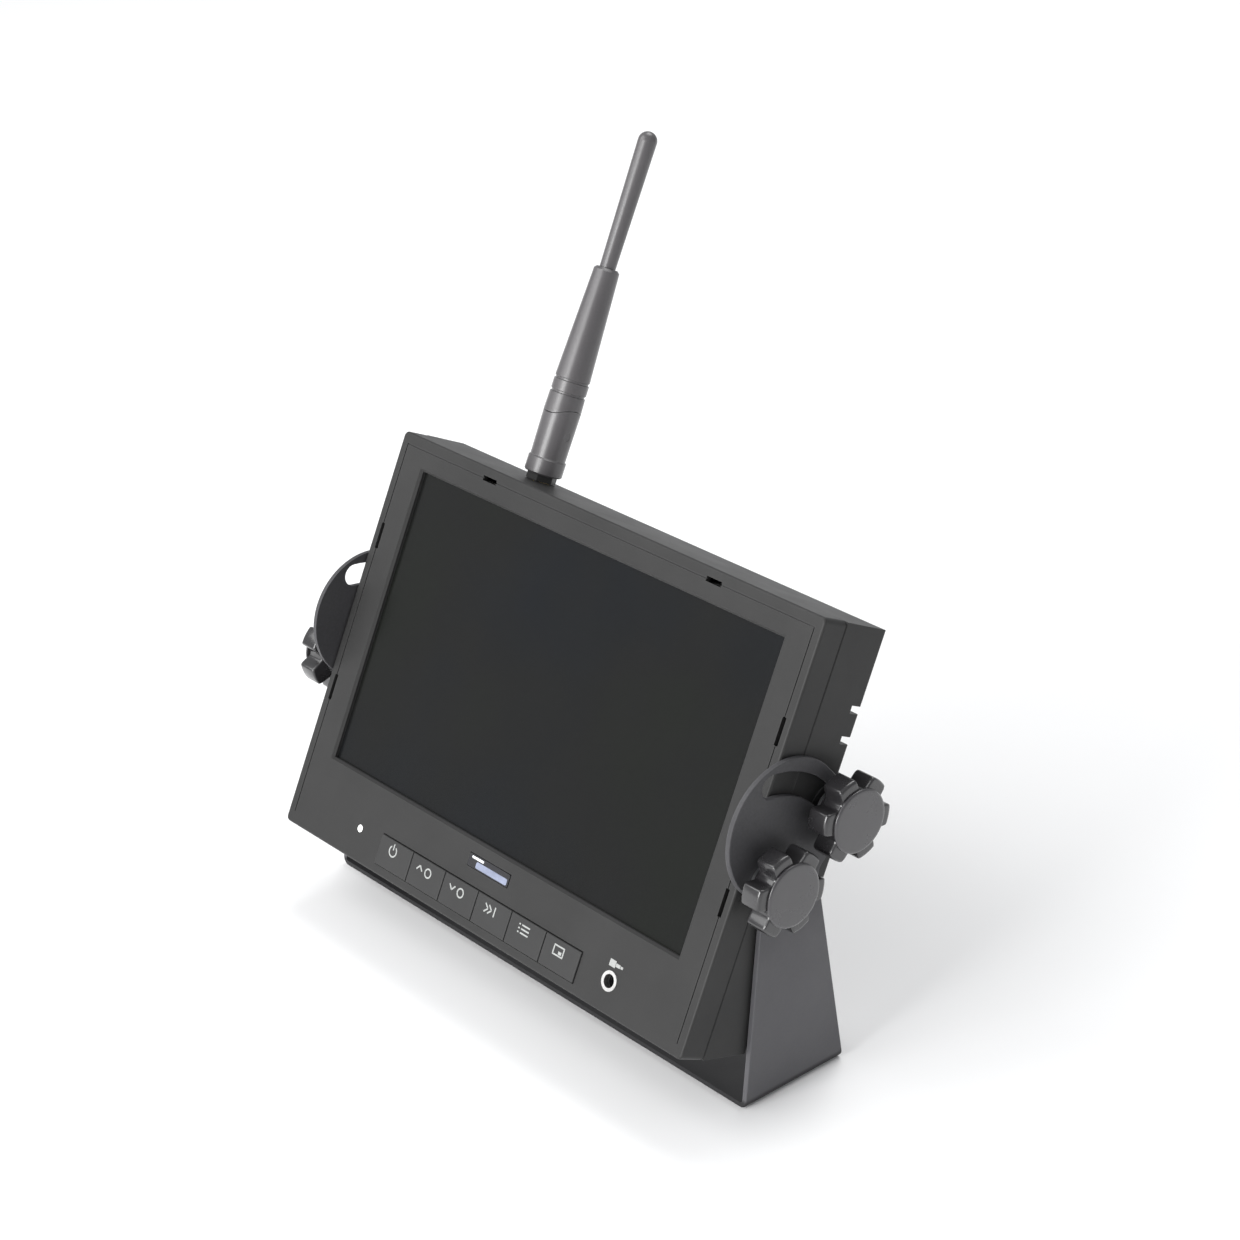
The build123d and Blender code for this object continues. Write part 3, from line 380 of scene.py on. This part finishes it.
def screen_material(name):
    """Dark display glass with a faint uneven tint, under a smooth front."""
    material, tree, shader, place = node_material(name)
    cloud = noise(tree, place, scale=13.0, detail=3.0, roughness=0.5)
    bluish, neutral, greenish = (0.0058, 0.0070, 0.0088), (0.0074, 0.0077, 0.0075), (0.0078, 0.0094, 0.0068)
    tint = ramp(tree, cloud, [(0.30, bluish), (0.5, neutral), (0.72, greenish)])
    fine = noise(tree, place, scale=5200.0, detail=1.0)
    tint = mix_colour(tree, mapped(tree, fine, 0.0, 0.08), tint, grey(0.02))
    tree.links.new(tint, shader.inputs["Base Color"])
    smudge = noise(tree, place, scale=40.0, detail=4.0)
    tree.links.new(mapped(tree, smudge, 0.16, 0.24), shader.inputs["Roughness"])
    shader.inputs["Specular IOR Level"].default_value = 0.30
    bump(tree, shader, [(fine, 0.04, 0.01 * MM)])
    return material


def metal(name, colour, rough, brushed=(1.0, 1.0, 1.0), tarnish=None):
    """Metal with fine drawn or turned scratches and cloudy tarnish."""
    material, tree, shader, place = node_material(name)
    stretch = tree.nodes.new("ShaderNodeMapping")
    stretch.inputs["Scale"].default_value = brushed
    tree.links.new(place, stretch.inputs["Vector"])
    scratches = noise(tree, stretch.outputs["Vector"], scale=900.0, detail=4.0)
    stain = noise(tree, place, scale=160.0, detail=5.0)
    dull = tarnish or scaled(colour, 0.7)
    tone = ramp(tree, stain, [(0.35, dull), (0.65, colour)])
    tone = mix_colour(tree, mapped(tree, scratches, 0.0, 0.3), tone, scaled(colour, 1.2))
    tree.links.new(tone, shader.inputs["Base Color"])
    shader.inputs["Metallic"].default_value = 1.0
    tree.links.new(mapped(tree, scratches, *rough), shader.inputs["Roughness"])
    bump(tree, shader, [(scratches, 0.25, 0.02 * MM)])
    return material


def circuit_board(name):
    """Green solder mask with paler copper tracks showing through."""
    material, tree, shader, place = node_material(name)
    bricks = tree.nodes.new("ShaderNodeTexBrick")
    bricks.inputs["Scale"].default_value = 190.0
    bricks.inputs["Mortar Size"].default_value = 0.08
    bricks.inputs["Color1"].default_value = (0.006, 0.060, 0.020, 1)
    bricks.inputs["Color2"].default_value = (0.010, 0.085, 0.030, 1)
    bricks.inputs["Mortar"].default_value = (0.030, 0.170, 0.050, 1)
    flat = tree.nodes.new("ShaderNodeMapping")
    flat.inputs["Rotation"].default_value = (math.pi / 2 + TILT_BACK, 0, 0)
    tree.links.new(place, flat.inputs["Vector"])
    tree.links.new(flat.outputs["Vector"], bricks.inputs["Vector"])
    weave = noise(tree, place, scale=1500.0, detail=2.0)
    tone = mix_colour(tree, mapped(tree, weave, 0.0, 0.2), bricks.outputs["Color"], (0.02, 0.12, 0.05))
    tree.links.new(tone, shader.inputs["Base Color"])
    tree.links.new(mapped(tree, weave, 0.25, 0.4), shader.inputs["Roughness"])
    bump(tree, shader, [(bricks.outputs["Fac"], 0.3, 0.03 * MM), (weave, 0.1, 0.01 * MM)])
    return material


def dull_black(name, colour):
    """Rubber or pressed paper, dull, with a bloom on its surface."""
    material, tree, shader, place = node_material(name)
    bloom = noise(tree, place, scale=240.0, detail=6.0, roughness=0.65)
    tone = ramp(tree, bloom, [(0.35, colour), (0.75, scaled(colour, 1.8))])
    tree.links.new(tone, shader.inputs["Base Color"])
    tree.links.new(mapped(tree, bloom, 0.62, 0.85), shader.inputs["Roughness"])
    bump(tree, shader, [(bloom, 0.3, 0.06 * MM)])
    return material


def ink(name, colour):
    """Printed legend ink, thin and a little patchy."""
    material, tree, shader, place = node_material(name)
    patch = noise(tree, place, scale=1800.0, detail=3.0)
    tone = ramp(tree, patch, [(0.3, scaled(colour, 0.8)), (0.7, colour)])
    tree.links.new(tone, shader.inputs["Base Color"])
    tree.links.new(mapped(tree, patch, 0.45, 0.6), shader.inputs["Roughness"])
    bump(tree, shader, [(patch, 0.2, 0.01 * MM)])
    return material


def lit_lens(name):
    """White power light: a clear pipe lit from behind."""
    material, tree, shader, place = node_material(name)
    cloud = noise(tree, place, scale=900.0, detail=2.0)
    glow = ramp(tree, cloud, [(0.2, (0.85, 0.88, 0.86)), (0.8, (1.0, 1.0, 0.98))])
    tree.links.new(glow, shader.inputs["Base Color"])
    tree.links.new(glow, shader.inputs["Emission Color"])
    shader.inputs["Emission Strength"].default_value = 0.75
    shader.inputs["Roughness"].default_value = 0.25
    return material


MATERIALS = {
    "bracket_paint": powder_coat("bracket_powder_coat", (0.083, 0.082, 0.088), (0.102, 0.101, 0.107),
                                 (0.42, 0.58)),
    "case_plastic": moulded_plastic("case_plastic", (0.026, 0.026, 0.0258), (0.034, 0.0338, 0.0336),
                                    (0.38, 0.50), edge_wear_and_highlight=grey(0.070), specular=0.22),
    "screen": screen_material("display_glass"),
    "knob_plastic": moulded_plastic("knob_plastic", (0.035, 0.0337, 0.0364), (0.046, 0.0443, 0.0477),
                                    (0.22, 0.34), grain=900.0, grain_depth=0.015,
                                    edge_wear_and_highlight=(0.19, 0.18, 0.19), coat=0.6, coat_rough=0.14, lobe_painted_shade=0.45),
    "key_plastic": moulded_plastic("key_plastic", grey(0.027), grey(0.035), (0.46, 0.58),
                                   grain=3200.0, grain_depth=0.015, edge_wear_and_highlight=grey(0.07), specular=0.28),
    "antenna_plastic": moulded_plastic("antenna_plastic", (0.066, 0.062, 0.065), (0.083, 0.079, 0.082),
                                       (0.32, 0.42), grain=1400.0, grain_depth=0.008,
                                       edge_wear_and_highlight=grey(0.16), coat=0.45, coat_rough=0.27),
    "steel": metal("zinc_plated_steel", (0.60, 0.61, 0.62), (0.22, 0.4)),
    "brass": metal("turned_brass", (0.78, 0.60, 0.30), (0.2, 0.38), tarnish=(0.50, 0.36, 0.16)),
    "rubber": dull_black("black_rubber", grey(0.018)),
    "board": circuit_board("circuit_board"),
    "chip": moulded_plastic("chip_resin", (0.016, 0.016, 0.018), (0.026, 0.026, 0.028), (0.5, 0.65)),
    "light_box": moulded_plastic("white_light_box", (0.62, 0.62, 0.60), (0.74, 0.74, 0.72), (0.4, 0.55)),
    "tin": metal("bright_tin", (0.75, 0.75, 0.76), (0.18, 0.34), brushed=(1.0, 9.0, 9.0)),
    "magnet": metal("ferrite", (0.11, 0.11, 0.12), (0.45, 0.6)),
    "paper_cone": dull_black("pressed_paper", grey(0.03)),
    "clear_plastic": lit_lens("light_pipe"),
    "bright_ring": metal("polished_nickel", (0.90, 0.89, 0.87), (0.30, 0.42)),
    "badge": moulded_plastic("badge_plate", (0.02, 0.02, 0.022), (0.03, 0.03, 0.033), (0.2, 0.3),
                             grain_depth=0.01),
}
LEGEND_INK = ink("legend_ink", (0.40, 0.41, 0.40))
BADGE_INK = ink("badge_ink", (0.80, 0.82, 0.84))
BADGE_INLAY = metal("badge_inlay", (0.50, 0.55, 0.72), (0.3, 0.45), brushed=(14.0, 1.0, 1.0))


def dress_cad_nodes():
    """Give every carried-over CAD node its finish by its record slot."""
    slots = {part["node"]: part["material_slot"] for part in frame["record"]["subparts"]}
    for node, obj in frame["nodes"].items():
        obj.data.materials.clear()
        obj.data.materials.append(MATERIALS[slots[node]])


# ------------------------------------------------------------------ star knobs and studs

KNOB_LOBES = 6
KNOB_SEGMENTS = 240
KNOB_TIP_R = 12.2 * MM
KNOB_VALLEY_R = 8.5 * MM
KNOB_TURN = math.radians(42.6)
KNOB_SMOOTH = 50
# A scallop between two lobes starts where the outline's sine wave has risen to this value.
SCALLOP_START = 0.62
BORE_R, BORE_TIP_R, BORE_FLOOR = 2.55, 0.4, 5.5
# Rings from the hub outwards, in millimetres: (height, inset from the star's outline or None,
# radius where the ring is round). The hub comes first, then the lobes, then the round face.
KNOB_PROFILE = (
    (0.0, None, BORE_R), (0.0, None, 6.1), (0.15, None, 6.45), (0.5, None, 6.6), (1.7, None, 6.6),
    (2.0, None, 6.9),
    (2.0, 0.9, None), (2.1, 0.4, None), (2.4, 0.1, None), (2.8, 0.0, None),
    (7.9, 0.0, None), (8.3, 0.07, None), (8.65, 0.3, None), (8.85, 0.65, None), (8.9, 1.1, None),
    (8.9, None, 7.3), (8.92, None, 8.9), (9.0, None, 9.1), (9.2, None, 9.2), (9.45, None, 9.14),
    (9.65, None, 8.94), (9.77, None, 8.6), (9.8, None, 8.1), (9.8, None, 4.0), (9.8, None, 0.4),
)

STUD_R = 2.5 * MM
THREAD_PITCH = 0.8 * MM
THREAD_DEPTH = 0.42 * MM
STUD_LEAD_IN = 0.8 * MM
STUD_TIP_SHARE = 0.72
STUD_SEGMENTS, STEPS_PER_TURN = 40, 10
STUD_SMOOTH = 30


def knob_star_radius(angle):
    """Outline of the star: wide flat-ended lobes with narrow rounded scallops between them."""
    way = abs(math.sin(KNOB_LOBES * angle / 2))
    dip = max(0.0, min(1.0, (way - SCALLOP_START) / (1 - SCALLOP_START)))
    eased_dip = dip * dip * (3 - 2 * dip)
    return KNOB_TIP_R - (KNOB_TIP_R - KNOB_VALLEY_R) * eased_dip


def knob_mesh(bm):
    """Star knob, from its hub at z = 0 out to its round face."""
    rings = [circle(BORE_TIP_R * MM, BORE_FLOOR * MM, KNOB_SEGMENTS),
             circle(BORE_R * MM, BORE_FLOOR * MM, KNOB_SEGMENTS)]
    for height, inset, radius in KNOB_PROFILE:
        ring = []
        for i in range(KNOB_SEGMENTS):
            angle = 2 * math.pi * i / KNOB_SEGMENTS
            r = radius * MM if inset is None else knob_star_radius(angle) - inset * MM
            ring.append((r * math.cos(angle), r * math.sin(angle), height * MM))
        rings.append(ring)
    add_rings(bm, rings, cap_start=True, cap_end=True)


def thread_ring(z):
    """One ring of the stud: a triangular helix that fades into the lead-in at the tip."""
    lead_in = min(1.0, z / STUD_LEAD_IN)
    ring = []
    for i in range(STUD_SEGMENTS):
        angle = 2 * math.pi * i / STUD_SEGMENTS
        phase = (z / THREAD_PITCH - i / STUD_SEGMENTS) % 1.0
        cut = THREAD_DEPTH * abs(2 * phase - 1)
        r = (STUD_R - cut) * (STUD_TIP_SHARE + (1 - STUD_TIP_SHARE) * lead_in)
        ring.append((r * math.cos(angle), r * math.sin(angle), z))
    return ring


def stud_mesh(length):
    """Threaded stud with a real helix, from its narrowed tip at z = 0 to its buried end."""
    count = int(length / THREAD_PITCH * STEPS_PER_TURN)
    rings = [thread_ring(length * k / count) for k in range(count + 1)]
    return lambda bm: add_rings(bm, rings, cap_start=True, cap_end=True)


def span_from_middle(node):
    """Least and greatest distance of a side piece from the middle of the monitor."""
    low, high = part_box(node)
    return sorted((abs(low.x), abs(high.x)))


def outward_matrix(node, start):
    """Frame of a side screw: z points out of the monitor, origin on its axis at x = start."""
    middle = box_middle(node)
    hand = 1 if middle.x > 0 else -1
    turn = Matrix.Rotation(-TILT_BACK, 4, "X") @ Matrix.Rotation(hand * math.pi / 2, 4, "Y")
    return Matrix.Translation((start * hand, middle.y, middle.z)) @ turn


def make_knobs():
    """Four star knobs and their threaded studs."""
    for place in ("pivot_right", "clamp_right", "pivot_left", "clamp_left"):
        node = "knob_" + place
        hub, _ = span_from_middle(node)
        matrix = outward_matrix(node, hub) @ Matrix.Rotation(KNOB_TURN, 4, "Z")
        knob = new_object("star_" + node, knob_mesh, matrix, node,
                          MATERIALS["knob_plastic"], KNOB_SMOOTH)
        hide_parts(node)
        stud_node = "stud_" + place
        tip, buried = span_from_middle(stud_node)
        stud = new_object("threaded_" + stud_node, stud_mesh(buried - tip),
                          outward_matrix(stud_node, tip), node, MATERIALS["steel"], STUD_SMOOTH)
        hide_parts(stud_node)


# ------------------------------------------------------------------ key legends

KEY_FACE_DEPTH = -0.6 * MM
LEGEND_PROUD = 0.05 * MM
LEGEND_SUNK = 0.05 * MM
# The signs stand a little left of the middle of their keys.
SIGN_SHIFT = -0.9 * MM
PLUG_SHIFT, PLUG_RISE = 0.5 * MM, 4.9 * MM

# Sizes of the signs, in millimetres and degrees.
LINE = 0.45
UPRIGHT = 90
CHEVRON_ARM, CHEVRON_HALF = 1.9, 0.62
ARROW_X, ARROW_LEAN = -2.2, 48
NEXT_X, NEXT_LEAN = (-1.6, 0.0), 42
NEXT_BAR_X, NEXT_BAR = 2.0, 2.9
POWER_R, POWER_START, POWER_SWEEP = 1.35, 125, 290
POWER_STEM, POWER_STEM_Y = 1.9, 1.3
DIAL_X, DIAL_Y, DIAL_R = 1.7, -0.3, 1.05
LIST_PITCH, LIST_ROW, LIST_ROW_X, LIST_DOT, LIST_DOT_X = 1.15, 3.4, 0.5, 0.6, -2.1
FRAME_W, FRAME_H, FRAME_HALF_W, FRAME_HALF_H = 4.4, 2.3, 2.0, 1.3
INSET_X, INSET_Y, INSET_W, INSET_H = 0.7, -0.45, 1.3, 0.9
# Plug over the input jack: body, tip and end of the tip, each (x, length, width).
PLUG_STEPS = ((-1.3, 2.4, 2.0), (0.9, 1.7, 1.0), (2.4, 0.9, 0.7))


def stroke(bm, x, y, length, width=LINE, angle=0.0):
    """A straight stroke of a sign."""
    bar(bm, x * MM, y * MM, length * MM, width * MM, -LEGEND_SUNK, LEGEND_PROUD, angle)


def hoop(bm, x, y, inner, start=0.0, sweep=FULL_TURN):
    """A ring of a sign, one line wide, or an open arc of it."""
    annulus(bm, x * MM, y * MM, inner * MM, inner * MM + LINE * MM, -LEGEND_SUNK, LEGEND_PROUD,
            start, sweep)


def sign_power(bm):
    """Broken ring with an upright stroke."""
    hoop(bm, 0, 0, POWER_R, POWER_START, POWER_SWEEP)
    stroke(bm, 0, POWER_STEM_Y, POWER_STEM, angle=UPRIGHT)


def sign_arrow_and_dial(bm, way):
    """Open chevron, up for 1 or down for -1, beside a plain ring."""
    for side in (-1, 1):
        stroke(bm, ARROW_X + side * CHEVRON_HALF, 0, CHEVRON_ARM, angle=-side * way * ARROW_LEAN)
    hoop(bm, DIAL_X, DIAL_Y, DIAL_R)


def sign_up(bm):
    """Up mark beside a ring."""
    sign_arrow_and_dial(bm, 1)


def sign_down(bm):
    """Down mark beside a ring."""
    sign_arrow_and_dial(bm, -1)


def sign_next(bm):
    """Two chevrons and a stroke: step to the next picture."""
    for x in NEXT_X:
        for side in (-1, 1):
            stroke(bm, x, side * CHEVRON_HALF, CHEVRON_ARM, angle=-side * NEXT_LEAN)
    stroke(bm, NEXT_BAR_X, 0, NEXT_BAR, angle=UPRIGHT)


def sign_list(bm):
    """Three short rows, each with a dot: the settings list."""
    for row in (-LIST_PITCH, 0.0, LIST_PITCH):
        stroke(bm, LIST_ROW_X, row, LIST_ROW)
        stroke(bm, LIST_DOT_X, row, LIST_DOT)


def sign_frame(bm):
    """Picture outline with a filled corner: choose the picture."""
    for side in (-1, 1):
        stroke(bm, 0, side * FRAME_HALF_H, FRAME_W)
    for side in (-1, 1):
        stroke(bm, side * FRAME_HALF_W, 0, FRAME_H, angle=UPRIGHT)
    stroke(bm, INSET_X, INSET_Y, INSET_W, INSET_H)


def sign_plug(bm):
    """Small jack plug, over the input socket."""
    for x, length, width in PLUG_STEPS:
        stroke(bm, x, 0, length, width)


KEY_SIGNS = (sign_power, sign_up, sign_down, sign_next, sign_list, sign_frame)


def facing_out(x, depth, z):
    """Frame on the monitor's front: x across, y up the screen, z towards the viewer."""
    return MONITOR @ Matrix.Translation((x, depth, z)) @ Matrix.Rotation(math.pi / 2, 4, "X")


def make_legends():
    """A generic sign on each key, level with the input jack, and one over the jack."""
    jack = in_monitor("av_jack_ring")
    for number, sign in enumerate(KEY_SIGNS, start=1):
        key = "key_" + str(number)
        matrix = facing_out(in_monitor(key).x + SIGN_SHIFT, KEY_FACE_DEPTH, jack.z)
        new_object("legend_" + key, sign, matrix, key, LEGEND_INK)
    matrix = facing_out(jack.x + PLUG_SHIFT, 0, jack.z + PLUG_RISE)
    new_object("legend_input", sign_plug, matrix, "monitor", LEGEND_INK)


# ------------------------------------------------------------------ badge

BADGE_FACE_DEPTH = -0.12 * MM
BADGE_THICK = 0.08 * MM
CORNER_STEPS = 6
# Each mark on the badge plate, in millimetres: half its width and height, its corner radius, and how
# far its middle is across and up from the middle of the plate.
INLAY_SHAPE = (6.9, 0.95, 0.5, 1.5, -0.6)
STROKE_SHAPE = (2.6, 0.36, 0.3, -5.2, 1.1)


def rounded_outline(half_w, half_h, radius):
    """Corner-rounded rectangle."""
    points = []
    for cx, cy, start in ((1, 1, 0), (-1, 1, 90), (-1, -1, 180), (1, -1, 270)):
        for i in range(CORNER_STEPS + 1):
            a = math.radians(start + 90 * i / CORNER_STEPS)
            points.append((cx * (half_w - radius) + radius * math.cos(a),
                           cy * (half_h - radius) + radius * math.sin(a)))
    return points


def badge_mark(name, shape, material):
    """A thin raised mark on the badge plate."""
    half_w, half_h, radius, across, up = (length * MM for length in shape)
    outline = rounded_outline(half_w, half_h, radius)
    plate = in_monitor("name_badge")
    matrix = facing_out(plate.x + across, BADGE_FACE_DEPTH, plate.z + up)
    new_object(name, lambda bm: prism(bm, outline, 0.0, BADGE_THICK), matrix, "monitor", material)


def make_badge():
    """Plain pale inlay and a short white stroke on the blank badge plate."""
    badge_mark("badge_inlay", INLAY_SHAPE, BADGE_INLAY)
    badge_mark("badge_stroke", STROKE_SHAPE, BADGE_INK)


# ------------------------------------------------------------------ cable bush

CASE_BACK_DEPTH = 33.0 * MM
BUSH_SEGMENTS = 64
BUSH_SMOOTH = 40
# Half section of the bush as (radius, height), in millimetres: the flange inside the case, the neck
# in the wall and the shoulder outside it, then the mouth.
BUSH_FOOT = ((2.62, -3.8), (6.0, -3.8), (6.2, -3.6), (6.2, -2.4), (6.0, -2.2), (4.4, -2.2), (4.4, 0.0),
             (6.2, 0.0), (6.4, 0.2), (6.3, 0.7))
BUSH_MOUTH = ((4.9, 3.2), (2.9, 3.2), (2.62, 3.0), (2.62, -3.8))
BUSH_RIBS, RIB_START, RIB_PITCH = 4, 0.9, 0.6
RIB_R, RIB_TAPER = 6.15, 0.32
# A groove and the rib above it, each point as (past the rib's radius, above the groove's foot).
RIB_SECTION = ((-0.35, 0.0), (-0.35, 0.2), (0.0, 0.3), (-0.05, 0.5))


def bush_rib(index):
    """One groove and rib; each rib is smaller than the one below."""
    z = RIB_START + RIB_PITCH * index
    r = RIB_R - RIB_TAPER * index
    return [(r + past, z + above) for past, above in RIB_SECTION]


def grommet_mesh(bm):
    """Ribbed cable bush, z outwards from the back of the case."""
    section = list(BUSH_FOOT)
    for index in range(BUSH_RIBS):
        section += bush_rib(index)
    section += BUSH_MOUTH
    add_rings(bm, [circle(r * MM, z * MM, BUSH_SEGMENTS) for r, z in section])


def make_grommet():
    """Replaces the plain bush with a ribbed one."""
    middle = in_monitor("cable_grommet")
    on_back = Matrix.Translation((middle.x, CASE_BACK_DEPTH, middle.z))
    matrix = MONITOR @ on_back @ Matrix.Rotation(-math.pi / 2, 4, "X")
    bush = new_object("ribbed_cable_grommet", grommet_mesh, matrix, "monitor",
                      MATERIALS["rubber"], BUSH_SMOOTH)
    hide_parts("cable_grommet")


# ------------------------------------------------------------------ stage, lights, camera

FLOOR_R, FLOOR_SEGMENTS = 6.0, 96
FLOOR_DROP = 0.2 * MM
WORLD_COLOUR, WORLD_STRENGTH = (0.97, 0.98, 1.0, 1.0), 0.50
# Each light's name, place and size in metres, and power in watts.
LIGHTS = (
    ("key", (-0.55, -0.70, 0.95), 0.9, 8),
    ("back", (-0.3, 1.0, 1.9), 1.2, 20),
    ("front", (0.05, -1.75, 0.58), 0.9, 30),
)

CAMERA_AT = Vector((0.6150, -0.4886, 0.4981))
CAMERA_AZIMUTH = math.radians(50.33)
CAMERA_ELEVATION = math.radians(26.36)
CAMERA_ROLL = math.radians(-2.58)
CAMERA_LENS, CAMERA_SENSOR = 91.25, 36.0
CAMERA_NEAR, CAMERA_FAR = 0.05, 20.0


def make_camera():
    """Camera at the reference view: right of the front, above it, looking down."""
    data = bpy.data.cameras.new("camera")
    data.lens = CAMERA_LENS
    data.sensor_width = CAMERA_SENSOR
    data.clip_start = CAMERA_NEAR
    data.clip_end = CAMERA_FAR
    camera = bpy.data.objects.new("camera", data)
    bpy.context.scene.collection.objects.link(camera)
    c, s = math.cos(CAMERA_ELEVATION), math.sin(CAMERA_ELEVATION)
    back = Vector((math.sin(CAMERA_AZIMUTH) * c, -math.cos(CAMERA_AZIMUTH) * c, s))
    right = Vector((math.cos(CAMERA_AZIMUTH), math.sin(CAMERA_AZIMUTH), 0))
    up = back.cross(right)
    turn = Matrix((right, up, back)).transposed().to_4x4()
    camera.matrix_world = Matrix.Translation(CAMERA_AT) @ turn @ Matrix.Rotation(CAMERA_ROLL, 4, "Z")
    bpy.context.scene.camera = camera


def area_light(name, place, size, watts):
    """A soft square light aimed at the middle of the object."""
    data = bpy.data.lights.new(name, "AREA")
    data.shape = "SQUARE"
    data.size = size
    data.energy = watts
    light = bpy.data.objects.new(name, data)
    bpy.context.scene.collection.objects.link(light)
    light.location = place
    light.rotation_mode = "QUATERNION"
    middle = (cad_low + cad_high) / 2
    light.rotation_quaternion = (middle - Vector(place)).to_track_quat("-Z", "Y")


def floor_paper(name):
    """Matt paper for the floor, a little uneven in tone."""
    material, tree, shader, place = node_material(name)
    cloud = noise(tree, place, scale=3.0)
    tree.links.new(ramp(tree, cloud, [(0.3, grey(0.93)), (0.7, grey(0.96))]), shader.inputs["Base Color"])
    shader.inputs["Roughness"].default_value = 0.9
    return material


def make_floor():
    """Round pale floor, just under the object."""
    mesh = bpy.data.meshes.new("floor")
    bm = bmesh.new()
    bmesh.ops.create_circle(bm, cap_ends=True, radius=FLOOR_R, segments=FLOOR_SEGMENTS)
    bm.to_mesh(mesh)
    bm.free()
    mesh.materials.append(floor_paper("floor_paper"))
    floor = bpy.data.objects.new("floor", mesh)
    bpy.context.scene.collection.objects.link(floor)
    floor.location.z = cad_low.z - FLOOR_DROP


def make_surround():
    """Even pale light from all round, and plain colours in the picture."""
    world = bpy.data.worlds.new("surround")
    world.use_nodes = True
    background = world.node_tree.nodes["Background"]
    background.inputs["Color"].default_value = WORLD_COLOUR
    background.inputs["Strength"].default_value = WORLD_STRENGTH
    bpy.context.scene.world = world
    bpy.context.scene.view_settings.view_transform = "Standard"


def make_stage():
    """Pale floor, pale surround and soft studio lights."""
    make_floor()
    make_surround()
    for name, place, size, watts in LIGHTS:
        area_light(name, place, size, watts)


dress_cad_nodes()
make_knobs()
make_legends()
make_badge()
make_grommet()
make_stage()
make_camera()
